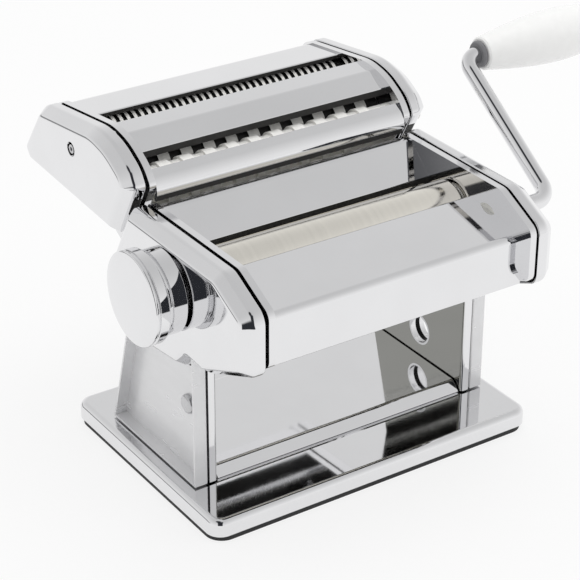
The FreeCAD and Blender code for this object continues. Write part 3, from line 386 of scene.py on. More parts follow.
class Bench:
    """Modelling steps with operators, one piece at a time. Sizes are in millimetres."""

    WELD = 0.002
    FOLD_REACH = 0.02
    FOLD_STEPS = 8
    SHEET_EDGE = 0.25
    SHEET_STEPS = 3
    SHEET_SHARP = 50.0
    SHEET_SMOOTH = 30.0
    TURNED_STEPS = 2
    TURNED_SHARP = 28.0
    TURNED_SMOOTH = 32.0
    HOLE_SIDES = 64
    AREA_WEIGHT = 50

    @staticmethod
    def clear() -> None:
        """Leave edit mode and deselect everything."""
        if bpy.context.object and bpy.context.object.mode != "OBJECT":
            bpy.ops.object.mode_set(mode="OBJECT")
        bpy.ops.object.select_all(action="DESELECT")

    @classmethod
    def pick(cls, piece: Piece) -> None:
        """Make a piece the active one and the only selected one.

        Args:
            piece: the piece.
        """
        cls.clear()
        bpy.context.view_layer.objects.active = piece
        piece.select_set(True)

    @staticmethod
    def adopt(name: str) -> Piece:
        """Name the active object.

        Args:
            name: the piece's name.

        Returns:
            The object.
        """
        piece = bpy.context.object
        piece.name = name
        piece.data.name = name
        return piece

    @classmethod
    def block(cls, name: str, place: Callable[[Vector], Vector]) -> Piece:
        """Block from a cube, each of whose corners is put in its place.

        Args:
            name: the piece's name.
            place: says where a corner of the unit cube goes, in millimetres.

        Returns:
            The new piece.
        """
        cls.clear()
        bpy.ops.mesh.primitive_cube_add(size=1.0)
        piece = cls.adopt(name)
        for vertex in piece.data.vertices:
            vertex.co = place(vertex.co) * MM
        return piece

    @classmethod
    def chain(cls, points: Sequence[Vector], name: str) -> Piece:
        """Open row of points: a circle with as many vertices, without its closing edge.

        Args:
            points: the points in order, in millimetres.
            name: the piece's name.

        Returns:
            The new piece.
        """
        cls.clear()
        count = len(points)
        bpy.ops.mesh.primitive_circle_add(vertices=count, radius=1.0, fill_type="NOTHING")
        piece = cls.adopt(name)
        for vertex, point in zip(piece.data.vertices, points):
            vertex.co = Vector(point) * MM
        ends = {0, count - 1}
        with cls.editing(piece, "EDGE", lambda e: {v.index for v in e.verts} == ends):
            bpy.ops.mesh.delete(type="EDGE")
        return piece

    @classmethod
    @contextmanager
    def editing(
        cls, piece: Piece, kind: str, chosen: Callable[..., bool] = lambda element: True
    ) -> Iterator[None]:
        """Stay in edit mode with only the chosen elements selected.

        Args:
            piece: the object to edit.
            kind: VERT, EDGE or FACE.
            chosen: says of one element whether it is selected.
        """
        cls.pick(piece)
        bpy.ops.object.mode_set(mode="EDIT")
        bpy.ops.mesh.select_mode(type=kind)
        bpy.ops.mesh.select_all(action="DESELECT")
        mesh = bmesh.from_edit_mesh(piece.data)
        elements = {"VERT": mesh.verts, "EDGE": mesh.edges, "FACE": mesh.faces}[kind]
        for element in elements:
            if chosen(element):
                element.select_set(True)
        mesh.select_flush_mode()
        bmesh.update_edit_mesh(piece.data)
        yield
        bpy.ops.object.mode_set(mode="OBJECT")

    @classmethod
    def apply(cls, piece: Piece, kind: str, **values: object) -> None:
        """Add a modifier and apply it.

        Args:
            piece: the piece.
            kind: the modifier's type.
            values: the modifier's settings.
        """
        cls.pick(piece)
        modifier = piece.modifiers.new(kind.lower(), kind)
        for key, value in values.items():
            setattr(modifier, key, value)
        bpy.ops.object.modifier_apply(modifier=modifier.name)

    @classmethod
    def thicken(cls, piece: Piece, wall: float, **values: object) -> None:
        """Give a skin its wall, on its inner side."""
        cls.apply(piece, "SOLIDIFY", thickness=wall * MM, offset=-1.0, **values)

    @classmethod
    def soften(cls, piece: Piece, width: float, segments: int, angle: float) -> None:
        """Round the piece's sharp edges.

        Args:
            piece: the piece.
            width: how far the rounding reaches from an edge.
            segments: steps across it.
            angle: angle in degrees past which an edge is sharp.
        """
        cls.apply(
            piece,
            "BEVEL",
            width=width * MM,
            segments=segments,
            limit_method="ANGLE",
            angle_limit=math.radians(angle),
            use_clamp_overlap=True,
        )

    @classmethod
    def smooth(cls, piece: Piece, angle: float) -> None:
        """Shade the piece smooth, apart from its sharp edges."""
        cls.pick(piece)
        bpy.ops.object.shade_smooth_by_angle(angle=math.radians(angle))

    @classmethod
    def flatten(cls, piece: Piece) -> None:
        """Let large faces lead the shading, so that flat metal stays flat beside its bends."""
        settings = {"mode": "FACE_AREA", "weight": cls.AREA_WEIGHT, "keep_sharp": True}
        cls.apply(piece, "WEIGHTED_NORMAL", **settings)

    @staticmethod
    def line(piece: Piece) -> None:
        """Give a piece two material places, the second for its painted shade."""
        for _ in range(2):
            piece.data.materials.append(None)

    @staticmethod
    def darken(piece: Piece, chosen: Callable[[bpy.types.MeshPolygon], bool]) -> None:
        """Give the chosen faces the near-black painted shade.

        Args:
            piece: the piece.
            chosen: says of one face whether it gets the lining.
        """
        for face in piece.data.polygons:
            if chosen(face):
                face.material_index = 1

    @classmethod
    def tidy_normals(cls, piece: Piece) -> None:
        """Merge doubles and turn every face outwards.

        Args:
            piece: the piece.
        """
        with cls.editing(piece, "VERT"):
            bpy.ops.mesh.remove_doubles(threshold=cls.WELD * MM)
            bpy.ops.mesh.normals_make_consistent(inside=False)

    @classmethod
    def sleeve(cls, rows: Sequence[Sequence[Vector]], name: str) -> Piece:
        """Closed sleeve through rows of points, from a grid that is welded along its seam.

        Args:
            rows: rings of points in millimetres, all with as many points.
            name: the piece's name.

        Returns:
            The new piece, open at its first and last ring.
        """
        around = len(rows[0])
        cls.clear()
        bpy.ops.mesh.primitive_grid_add(
            x_subdivisions=around, y_subdivisions=len(rows) - 1, size=1.0
        )
        piece = cls.adopt(name)
        vertices = piece.data.vertices
        ordered = sorted(vertices, key=lambda v: (round(v.co.y, 5), round(v.co.x, 5)))
        for place, vertex in enumerate(ordered):
            row, column = divmod(place, around + 1)
            vertex.co = rows[row][column % around] * MM
        cls.tidy_normals(piece)
        return piece

    @classmethod
    def folded_sheet(
        cls, path: Sequence[Triple], half_length: float, thickness: float, name: str
    ) -> Piece:
        """Sheet folded along X.

        Args:
            path: outer face in the side view as y, z and fold radius, the metal on its right.
            half_length: half the sheet's length along X.
            thickness: the metal's thickness.
            name: the piece's name.

        Returns:
            The finished sheet.
        """
        piece = cls.chain([Vector((-half_length, y, z)) for y, z, _ in path], name)
        with cls.editing(piece, "EDGE"):
            move = {"value": (2 * half_length * MM, 0, 0)}
            bpy.ops.mesh.extrude_edges_move(TRANSFORM_OT_translate=move)
        for corner in path[1:-1]:
            cls.fold(piece, corner)
        cls.face_left(piece, path)
        cls.line(piece)
        # The sheet's inner side gets the painted shade.
        cls.thicken(piece, thickness, use_even_offset=True, material_offset=1)
        cls.tidy_normals(piece)
        cls.soften(piece, cls.SHEET_EDGE, cls.SHEET_STEPS, cls.SHEET_SHARP)
        cls.smooth(piece, cls.SHEET_SMOOTH)
        cls.flatten(piece)
        return piece

    @classmethod
    def fold(cls, piece: Piece, corner: Triple) -> None:
        """Round one fold line of a sheet.

        Args:
            piece: the sheet.
            corner: the fold line as y, z and radius.
        """
        spot = Vector(corner[:2]) * MM
        reach = cls.FOLD_REACH * MM

        def on_fold(edge: bmesh.types.BMEdge) -> bool:
            """Tell whether an edge is this fold line."""
            return all((v.co.yz - spot).length < reach for v in edge.verts)

        with cls.editing(piece, "EDGE", on_fold):
            bpy.ops.mesh.bevel(
                offset=corner[2] * MM,
                offset_type="OFFSET",
                segments=cls.FOLD_STEPS,
                affect="EDGES",
            )

    @classmethod
    def face_left(cls, piece: Piece, path: Sequence[Triple]) -> None:
        """Turn a sheet's faces to the left of its path.

        Args:
            piece: the sheet.
            path: its outer face in the side view.
        """
        first, second = (Vector(corner[:2]) for corner in path[:2])
        along = (second - first).normalized()
        right = Vector((0, along.y, -along.x))
        middle = (first + second) / 2 * MM
        start = min(piece.data.polygons, key=lambda f: (f.center.yz - middle).length)
        if start.normal.dot(right) > 0:
            with cls.editing(piece, "FACE"):
                bpy.ops.mesh.flip_normals()

    @classmethod
    def lathe(
        cls,
        profile: Sequence[SidePoint],
        axis: SidePoint,
        name: str,
        steps: int = 96,
        edge: float = 0.15,
    ) -> Piece:
        """Turned piece about an X axis.

        Args:
            profile: the outline as x and radius, from end to end.
            axis: place of the axis as y and z.
            name: the piece's name.
            steps: divisions of the full turn.
            edge: radius that its sharp edges are rounded to.

        Returns:
            The finished piece.
        """
        y, z = axis
        piece = cls.chain([Vector((x, y, z + r)) for x, r in profile], name)
        with cls.editing(piece, "EDGE"):
            bpy.ops.mesh.spin(
                steps=steps,
                angle=2 * math.pi,
                center=(0, y * MM, z * MM),
                axis=(1, 0, 0),
                use_auto_merge=True,
            )
        cls.tidy_normals(piece)
        if edge:
            cls.soften(piece, edge, cls.TURNED_STEPS, cls.TURNED_SHARP)
        cls.smooth(piece, cls.TURNED_SMOOTH)
        return piece

    @classmethod
    def drill(cls, piece: Piece, place: SidePoint, radius: float, span: Span) -> None:
        """Cut a round hole along X through a piece.

        Args:
            piece: the piece.
            place: the hole's middle as y and z.
            radius: the hole's radius.
            span: where the hole starts and ends along X.
        """
        cls.clear()
        bpy.ops.mesh.primitive_cylinder_add(
            vertices=cls.HOLE_SIDES,
            radius=radius * MM,
            depth=(span[1] - span[0]) * MM,
            location=Vector(((span[0] + span[1]) / 2, *place)) * MM,
            rotation=(0, math.pi / 2, 0),
        )
        cls.subtract(piece, bpy.context.object)

    @classmethod
    def subtract(cls, piece: Piece, tool: Piece) -> None:
        """Cut a tool's shape out of a piece and drop the tool."""
        cls.apply(piece, "BOOLEAN", operation="DIFFERENCE", object=tool, solver="MANIFOLD")
        bpy.data.objects.remove(tool)


class Workshop:
    """Keeps the finishes, and hands pieces over to the frame."""

    def __init__(self, frame: dict) -> None:
        """Build the finishes once and dress the frame's own nodes with them.

        Args:
            frame: the loaded frame.
        """
        self.materials = {slot: finish.material() for slot, finish in FINISHES.items()}
        for part in frame["record"]["subparts"]:
            self.paint(frame["nodes"][part["node"]], Slot(part["material_slot"]))
        for node, look in DRESSED_NODES.items():
            self.paint(frame["nodes"][node], look)

    def paint(self, piece: Piece, finish: Enum) -> None:
        """Give a piece one finish, and the painted shade on its second place where it has one.

        Args:
            piece: the piece.
            finish: the slot or the look whose finish it gets.
        """
        places = piece.data.materials
        if len(places) < 2:
            places.clear()
            places.append(self.materials[finish])
        else:
            places[0] = self.materials[finish]
            places[1] = self.materials[Look.PAINTED_SHADE]

    def fit(
        self, piece: Piece, body: Body, slot: Slot, *nodes: str, look: Optional[Look] = None
    ) -> None:
        """Put a finished piece on its body in place of CAD nodes.

        Args:
            piece: the finished piece.
            body: the body it rides on.
            slot: its material slot.
            nodes: the nodes that it stands for.
            look: a finish to show instead of the slot's own.
        """
        Bench.clear()
        self.paint(piece, look or slot)
        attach(piece, body.value)
        if nodes:
            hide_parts(*nodes)
        LOG.info("%s: %d faces on %s", piece.name, len(piece.data.polygons), body.value)


@dataclass(frozen=True)
class SideOutline:
    """Side-view outline with rounded corners that can be moved inwards.

    Attributes:
        corners: the corners as y, z and radius, anticlockwise.
        steps: points on each corner.
        least_bend: radius that a corner keeps at least when it is moved inwards.
    """

    corners: Tuple[Triple, ...]
    steps: int = 9
    least_bend: float = 1.0

    def ring(self, x: float, inset: float) -> List[Vector]:
        """Points of the outline at one X.

        Args:
            x: place along X.
            inset: how far every side is moved inwards.

        Returns:
            The points in order, as many for every inset.
        """
        points = []
        count = len(self.corners)
        for index, (y, z, radius) in enumerate(self.corners):
            here = Vector((y, z))
            before = (here - Vector(self.corners[index - 1][:2])).normalized()
            after = (Vector(self.corners[(index + 1) % count][:2]) - here).normalized()
            turn = math.atan2(before.cross(after), before.dot(after))
            left = Vector((-before.y, before.x))
            half = math.tan(turn / 2)
            corner = here + left * inset + before * -inset * half
            bend = max(radius - inset, self.least_bend) if turn > 0 else radius + inset
            reach = bend * abs(half)
            way = 1.0 if turn > 0 else -1.0
            centre = corner - before * reach + left * bend * way
            for step in range(self.steps):
                angle = turn * step / (self.steps - 1)
                spoke = before * math.sin(angle) * way - left * math.cos(angle) * way
                spot = centre + spoke * bend
                points.append(Vector((x, spot.x, spot.y)))
        return points


@dataclass
class EndCaps:
    """Bevelled chrome caps at the ends of the body and of the cutter unit."""

    inner_x: float = 78.2
    bevel_x: float = 83.5
    outer_x: float = 89.5
    face_inset: float = 4.5
    face_border: float = 0.4
    lip: float = 0.8
    rim_round: float = 1.4
    face_round: float = 1.6
    bend_steps: int = 8
    wall: float = 1.5
    rail_top: SidePoint = (18.7, 140.0)
    rail_lean: float = math.radians(29.0)
    rail_plane: float = 31.1
    drive: SidePoint = (-50.9, 119.8)
    drive_hole: float = 8.05
    spindle: SidePoint = (-20.5, 115.0)
    spindle_hole: float = 4.5
    crank_holes: Tuple[SidePoint, SidePoint] = ((29.4, 145.0), (62.4, 152.0))
    crank_hole: float = 5.95
    face_screw: SidePoint = (70.2, 151.5)
    face_hole: float = 3.7
    margin: float = 3.0
    notch_front: float = -4.0
    notch_back: float = 7.4
    notch_top: float = 8.6
    notch_end: float = 60.0
    notch_x: float = 83.4
    joint_top: float = 142.0
    joint_facing: float = 0.95
    smooth_angle: float = 30.0

    def body_rim(self) -> SideOutline:
        """Outline of the body's caps in the side view.

        Returns:
            The outline.
        """
        lower_y = self.rail_top[0] + self.rail_plane * math.sin(self.rail_lean)
        lower_z = self.rail_top[1] - self.rail_plane * math.cos(self.rail_lean)
        front = ((-62.0, 140.0, 13.0), (-87.0, 127.5, 9.0), (-87.0, 97.5, 7.0))
        below = ((-50.0, 81.5, 7.0), (-35.0, 82.5, 5.0), (-26.0, 74.0, 7.0), (24.5, 68.5, 5.0))
        return SideOutline(((*self.rail_top, 3.0), *front, *below, (lower_y, lower_z, 6.0)))

    def cutter_rim(self) -> SideOutline:
        """Outline of the cutter unit's caps in the side view.

        Returns:
            The outline.
        """
        below = ((32.65, 119.62, 3.0), (119.0, 125.0, 5.0))
        behind = ((126.0, 134.0, 7.0), (106.0, 161.5, 10.0))
        above = ((50.0, 168.5, 38.0), (35.0, 165.5, 38.0), (21.0, 157.5, 18.0), (16.0, 149.6, 4.0))
        return SideOutline((*below, *behind, *above))

    def section(self) -> List[SidePoint]:
        """Section through a cap's rim, bevel and face, as inset and x, with soft bends.

        Returns:
            Points from the inner edge to the start of the flat face.
        """
        inwards, outwards = Vector((1.0, 0.0)), Vector((0.0, 1.0))
        bevel = Vector((self.face_inset, self.outer_x - self.bevel_x)).normalized()
        bends = (
            (Vector((0.0, self.inner_x)), -inwards, outwards, self.lip),
            (Vector((0.0, self.bevel_x)), outwards, bevel, self.rim_round),
            (Vector((self.face_inset, self.outer_x)), bevel, inwards, self.face_round),
        )
        points = []
        for corner, arriving, leaving, reach in bends:
            for step in range(self.bend_steps + 1):
                share = step / self.bend_steps
                near = corner - arriving * reach * (1 - share)
                far = corner + leaving * reach * share
                points.append(tuple(near.lerp(far, share)))
        return points

    def shell(self, rim: SideOutline, name: str) -> Piece:
        """Right-hand cap with a bevelled face, open on its inner side.

        Args:
            rim: the outline in the side view.
            name: the piece's name.

        Returns:
            The hollow cap, before its holes.
        """
        cap = Bench.sleeve([rim.ring(x, inset) for inset, x in self.section()], name)
        face = (self.outer_x - TOLERANCE) * MM

        def round_face(edge: bmesh.types.BMEdge) -> bool:
            """Tell whether an edge bounds the open face."""
            return edge.is_boundary and all(v.co.x > face for v in edge.verts)

        with Bench.editing(cap, "EDGE", round_face):
            bpy.ops.mesh.edge_face_add()
            bpy.ops.mesh.inset(thickness=self.face_border * MM)
        Bench.tidy_normals(cap)
        Bench.line(cap)
        # The cap's inner side gets the painted shade.
        Bench.thicken(cap, self.wall, material_offset=1)
        return cap

    def mirror(self, cap: Piece) -> None:
        """Turn a right-hand cap into a left-hand one.

        Args:
            cap: the cap.
        """
        with Bench.editing(cap, "VERT"):
            bpy.ops.transform.resize(value=(-1, 1, 1), center_override=(0, 0, 0))
            bpy.ops.mesh.flip_normals()

    def rail_notch(self, cap: Piece) -> None:
        """Open a cutter cap's front wall for the rail.

        Args:
            cap: the cap.
        """
        down = Vector((0, math.sin(self.rail_lean), -math.cos(self.rail_lean)))
        back = Vector((0, math.cos(self.rail_lean), math.sin(self.rail_lean)))

        def place(corner: Vector) -> Vector:
            """Put one corner of the notch's block beside the rail.

            Args:
                corner: a corner of the unit cube.

            Returns:
                Its place.
            """
            x = self.inner_x - self.margin if corner.x < 0 else self.notch_x
            along = self.notch_top if corner.z > 0 else self.notch_end
            behind = self.notch_front if corner.y < 0 else self.notch_back
            return Vector((x, *self.rail_top)) + down * along + back * behind

        tool = Bench.block("notch_tool", place)
        Bench.tidy_normals(tool)
        Bench.subtract(cap, tool)

    def darken_joint(self, cap: Piece) -> None:
        """Paint shade on the wall of a cutter cap that faces the body's cap.

        Args:
            cap: the cap.
        """
        forward = Vector((0, -math.cos(self.rail_lean), -math.sin(self.rail_lean)))
        top = self.joint_top * MM
        with Bench.editing(cap, "FACE"):
            bpy.ops.mesh.bisect(plane_co=(0, 0, top), plane_no=(0, 0, 1))
        # Faces below joint_top that face forward get the painted shade.
        Bench.darken(
            cap, lambda f: f.normal.dot(forward) > self.joint_facing and f.center.z < top
        )

    def build(self, shop: Workshop) -> None:
        """Make the four caps and fit them.

        Args:
            shop: keeps the finishes and hands the caps over.
        """
        cranks = [(place, self.crank_hole) for place in self.crank_holes]
        screw = [(self.face_screw, self.face_hole)]
        caps = (
            ("body_cap_right", Body.FRAME, "end_cover_right", [(self.drive, self.drive_hole)]),
            ("body_cap_left", Body.FRAME, "end_cover_left", [(self.spindle, self.spindle_hole)]),
            ("cutter_cap_right", Body.CUTTER, "cutter_cover_right", cranks),
            ("cutter_cap_left", Body.CUTTER, "cutter_cover_left", screw),
        )
        past_face = (self.bevel_x, self.outer_x + self.margin)
        for name, body, node, holes in caps:
            on_cutter = body is Body.CUTTER
            cap = self.shell(self.cutter_rim() if on_cutter else self.body_rim(), name)
            for place, radius in holes:
                Bench.drill(cap, place, radius, past_face)
            if on_cutter:
                self.rail_notch(cap)
            if name.endswith("left"):
                self.mirror(cap)
            if on_cutter:
                self.darken_joint(cap)
            Bench.smooth(cap, self.smooth_angle)
            Bench.flatten(cap)
            shop.fit(cap, body, Slot.CHROME, node)


@dataclass(frozen=True)
class Sheet:
    """One folded sheet.

    Attributes:
        name: the piece's name.
        body: the body it rides on.
        node: the CAD node that it stands for.
        path: outer face in the side view as y, z and fold radius.
        lip_top: height up to which a wall that faces forward into a slot gets painted shade.
        gap: how much shorter it is at each end.
    """

    name: str
    body: Body
    node: str
    path: Tuple[Triple, ...]
    lip_top: float = 0.0
    gap: float = 0.0


SHEETS = (
    Sheet(
        "hood_front",
        Body.FRAME,
        "front_hood",
        (
            (-73.0, 95.0, 0), (-79.0, 95.0, 1.0), (-79.0, 121.8, 3.2),
            (-37.5, 126.2, 1.0), (-35.2, 124.4, 0),
        ),
    ),
    Sheet(
        "hood_rear",
        Body.FRAME,
        "rear_hood",
        (
            (-4.2, 120.5, 0), (-4.15, 123.7, 0.3), (12.6, 138.4, 1.6),
            (17.4, 138.4, 1.6), (31.2, 113.4, 2.0), (28.6, 101.0, 0),
        ),
        lip_top=123.6,
    ),
    Sheet(
        "mirror_floor",
        Body.FRAME,
        "floor_plate",
        ((-36.85, 12.85, 0), (-32.0, 17.7, 1.0), (36.8, 17.7, 1.0), (39.1, 12.5, 0)),
        gap=0.7,
    ),
    Sheet(
        "cutter_strip",
        Body.CUTTER,
        "cutter_front_strip",
        (
            (17.2, 140.0, 0), (17.0, 143.2, 0.3), (15.8, 143.2, 0.4),
            (15.4, 149.4, 4.6), (22.2, 155.0, 0),
        ),
        lip_top=143.3,
    ),
    Sheet(
        "cutter_ridge",
        Body.CUTTER,
        "cutter_bridge",
        (
            (32.8, 155.9, 0), (32.6, 159.6, 0.6), (45.0, 165.2, 0.8),
            (58.0, 166.0, 1.2), (58.4, 161.8, 0),
        ),
        lip_top=170.0,
    ),
    Sheet(
        "cutter_back",
        Body.CUTTER,
        "cutter_rear_hood",
        (
            (74.2, 161.9, 0), (74.0, 164.4, 1.0), (105.2, 160.6, 5.0),
            (124.6, 133.8, 3.5), (118.4, 126.0, 2.5), (102.0, 124.6, 0),
        ),
        lip_top=170.0,
    ),
)


@dataclass
class Hoods:
    """Folded chrome sheets between the side plates, and the floor plate under the rollers."""

    body_half: float = 74.5
    cutter_half: float = 72.9
    thickness: float = 1.2
    lip_facing: float = -0.9

    def build(self, shop: Workshop) -> None:
        """Fold the six sheets and fit them.

        Args:
            shop: keeps the finishes and hands the pieces over.
        """
        for sheet in SHEETS:
            half = self.body_half if sheet.body is Body.FRAME else self.cutter_half
            piece = Bench.folded_sheet(sheet.path, half - sheet.gap, self.thickness, sheet.name)
            top = sheet.lip_top * MM
            # Walls that face forward into a slot, below lip_top, get painted shade.
            Bench.darken(piece, lambda f: f.normal.y < self.lip_facing and f.center.z < top)
            shop.fit(piece, sheet.body, Slot.CHROME, sheet.node)


@dataclass
class BaseTray:
    """Pressed base tray with a rolled edge."""

    width: float = 191.0
    depth: float = 138.0
    bottom: float = 3.1
    top: float = 12.0
    corner: float = 8.0
    corner_steps: int = 12
    roll: float = 3.5
    roll_steps: int = 8
    wall: float = 1.5
    smooth_angle: float = 35.0

    def place(self, corner: Vector) -> Vector:
        """Put one corner of the tray's block in its place."""
        z = self.top if corner.z > 0 else self.bottom
        return Vector((corner.x * self.width, corner.y * self.depth, z))

    def build(self, shop: Workshop) -> None:
        """Model the tray from a block and fit it.

        Args:
            shop: keeps the finishes and hands the pieces over.
        """
        tray = Bench.block("base_tray", self.place)
        low = (self.bottom + TOLERANCE) * MM
        high = (self.top - TOLERANCE) * MM
        with Bench.editing(tray, "EDGE", lambda e: abs(e.verts[0].co.z - e.verts[1].co.z) > MM):
            bpy.ops.mesh.bevel(
                offset=self.corner * MM, segments=self.corner_steps, affect="EDGES"
            )
        with Bench.editing(tray, "FACE", lambda f: all(v.co.z < low for v in f.verts)):
            bpy.ops.mesh.delete(type="FACE")
        with Bench.editing(tray, "EDGE", lambda e: all(v.co.z > high for v in e.verts)):
            bpy.ops.mesh.bevel(
                offset=self.roll * MM, segments=self.roll_steps, affect="EDGES"
            )
        Bench.thicken(tray, self.wall)
        Bench.tidy_normals(tray)
        Bench.smooth(tray, self.smooth_angle)
        Bench.flatten(tray)
        shop.fit(tray, Body.FRAME, Slot.CHROME, "base_plate")


@dataclass
class Rollers:
    """Smooth sheet rollers and the two pairs of cutter rolls."""

    radius: float = 14.0
    end: float = 72.8
    end_round: float = 0.8
    front_y: float = -22.75
    rear_y: float = 10.05
    axis_z: float = 115.0
    hub: float = 9.5
    bore: float = 7.5
    journal: float = 5.5
    left_end: float = -79.0
    right_end: float = 84.0
    turn_steps: int = 128
    roll_steps: int = 40
    roll_radius: float = 8.4
    roll_groove: float = 7.1
    thin_groove: float = 7.0
    roll_spacing: float = 15.6
    roll_journal: float = 3.5
    roll_left: float = -77.3
    roll_right: float = 83.7
    socket_radius: float = 5.6
    socket_bore: float = 4.4
    socket_span: Span = (77.5, 89.3)
    wide: SidePoint = (29.4, 145.0)
    thin: SidePoint = (62.4, 152.0)
    wide_pitch: float = 13.0
    thin_pitch: float = 4.0
    ring_gap: float = 0.2
    ring_depth: float = 0.25

    def sheet_rollers(self, shop: Workshop) -> None:
        """Turn the front and the rear roller.

        Args:
            shop: keeps the finishes and hands the pieces over.
        """
        shoulder = self.radius - self.end_round
        barrel = [
            (-self.end, shoulder),
            (-self.end + self.end_round, self.radius),
            (self.end - self.end_round, self.radius),
            (self.end, shoulder),
        ]
        front = [
            (-self.end, self.bore),
            *barrel,
            (self.end, self.hub),
            (self.right_end, self.hub),
            (self.right_end, self.bore),
            (-self.end, self.bore),
        ]
        rear = [
            (self.left_end, 0.0),
            (self.left_end, self.journal),
            (-self.end, self.journal),
            *barrel,
            (self.end, self.journal),
            (self.right_end, self.journal),
            (self.right_end, 0.0),
        ]
        turned = (
            (front, self.front_y, "roller_front", Body.FRONT_ROLLER),
            (rear, self.rear_y, "roller_rear", Body.REAR_ROLLER),
        )
        for profile, y, name, body in turned:
            piece = Bench.lathe(profile, (y, self.axis_z), name, self.turn_steps)
            shop.fit(piece, body, Slot.ROLLER, body.value)

    def ringed_profile(self, pitch: float, groove: float, shift: float) -> List[SidePoint]:
        """Outline of the ringed part of a cutter roll.

        Args:
            pitch: distance from ring to ring.
            groove: radius between the rings.
            shift: offset of the rings along the roll.

        Returns:
            Points as x and radius, from the left end to the right one.
        """
        count = int((2 * self.end - pitch) // pitch)
        start = -count * pitch / 2 + shift
        width = pitch / 2 - self.ring_gap
        points = [(-self.end, groove)]
        for index in range(count):
            x0 = start + index * pitch
            x1 = x0 + width
            points += [(x0, groove), (x0, self.roll_radius), (x1, self.roll_radius), (x1, groove)]
        points.append((self.end, groove))
        return points

    def cutter_roll(
        self, name: str, place: SidePoint, profile: List[SidePoint], driven: bool
    ) -> Piece:
        """Cutter roll with its journals, and a crank socket on a driven one.

        Args:
            name: the piece's name.
            place: its axis as y and z.
            profile: outline of its ringed part.
            driven: whether it has a socket.

        Returns:
            The finished roll.
        """
        journal = self.roll_journal
        left = [(self.roll_left, 0.0), (self.roll_left, journal), (-self.end, journal)]
        if driven:
            floor, mouth = self.socket_span
            right = [
                (self.end, self.socket_radius),
                (mouth, self.socket_radius),
                (mouth, self.socket_bore),
                (floor, self.socket_bore),
                (floor, 0.0),
            ]
        else:
            right = [(self.end, journal), (self.roll_right, journal), (self.roll_right, 0.0)]
        return Bench.lathe(left + profile + right, place, name, self.roll_steps, 0.0)

    def darken_grooves(self, roll: Piece, place: SidePoint) -> None:
        """Paint shade into the grooves of a roll, so that only its rings stay bright.

        Args:
            roll: the roll.
            place: its axis as y and z.
        """
        Bench.line(roll)
        centre = Vector(place) * MM
        below = (self.roll_radius - self.ring_depth) * MM
        end = self.end * MM
        Bench.darken(
            roll, lambda f: (f.center.yz - centre).length < below and abs(f.center.x) < end
        )

    def build(self, shop: Workshop) -> None:
        """Make all six rollers and fit them.

        Args:
            shop: keeps the finishes and hands the pieces over.
        """
        self.sheet_rollers(shop)
        pairs = (
            ("wide", self.wide, self.wide_pitch, self.roll_groove),
            ("thin", self.thin, self.thin_pitch, self.thin_groove),
        )
        for kind, (y, z), pitch, groove in pairs:
            sides = (("front", 0.0, 0.0), ("rear", pitch / 2, self.roll_spacing))
            for side, shift, offset in sides:
                body = Body(f"{kind}_roll_{side}")
                place = (y + offset, z)
                profile = self.ringed_profile(pitch, groove, shift)
                name = f"ringed_{body.value}"
                piece = self.cutter_roll(name, place, profile, side == "front")
                # Every roll but the wide front one gets painted shade in its grooves.
                if body is not Body.WIDE_FRONT:
                    self.darken_grooves(piece, place)
                shop.fit(piece, body, Slot.ROLLER, body.value, look=Look.CUTTER_ALLOY)


@dataclass
class GapKnob:
    """Turned chrome knob that sets the gap between the rollers."""

    axis: SidePoint = (-20.5, 115.0)
    back: float = -90.8
    face: float = -110.0
    seam: float = -107.0
    wall: float = -95.5
    radius: float = 23.2
    skirt: float = 21.0
    groove: float = 19.8
    groove_span: Span = (-98.5, -101.4)
    cavity: float = 9.0
    bore: float = 3.55
    edge: float = 0.4
    disc_edge: Tuple[SidePoint, ...] = ((1.5, 0.0), (1.0, 0.5), (0.0, 5.0))
    disc_round: float = 0.25
    turn_steps: int = 128

    def build(self, shop: Workshop) -> None:
        """Turn the knob's body and its front disc and fit them.

        Args:
            shop: keeps the finishes and hands the pieces over.
        """
        skirt_end, grip_start = self.groove_span
        bead = (skirt_end + grip_start) / 2
        edge = self.edge
        neck = self.radius - 2 * edge
        body = [
            (self.seam, self.cavity),
            (self.wall, self.cavity),
            (self.wall, self.bore),
            (self.back, self.bore),
            (self.back, self.skirt - edge),
            (self.back - edge, self.skirt),
            (skirt_end + edge / 2, self.skirt),
            (skirt_end, self.groove),
            (bead + edge, self.groove),
            (bead + edge / 2, self.groove + 2 * edge),
            (bead - edge / 2, self.groove + 2 * edge),
            (bead - edge, self.groove),
            (grip_start, self.groove),
            (grip_start, self.radius - edge),
            (grip_start - edge, self.radius),
            (self.seam + 2 * edge, self.radius),
            (self.seam + edge, neck),
            (self.seam, neck),
            (self.seam, self.cavity),
        ]
        knob = Bench.lathe(body, self.axis, "knob_body", self.turn_steps)
        Bench.flatten(knob)
        shop.fit(knob, Body.KNOB, Slot.CHROME, "knob")
        disc = [
            (self.seam, 0.0),
            (self.seam, neck),
            (self.seam - edge, self.radius),
            *((self.face + behind, self.radius - below) for behind, below in self.disc_edge),
            (self.face, 0.0),
        ]
        cap = Bench.lathe(disc, self.axis, "knob_disc", self.turn_steps, self.disc_round)
        Bench.flatten(cap)
        shop.fit(cap, Body.KNOB, Slot.CHROME, "knob_cap")


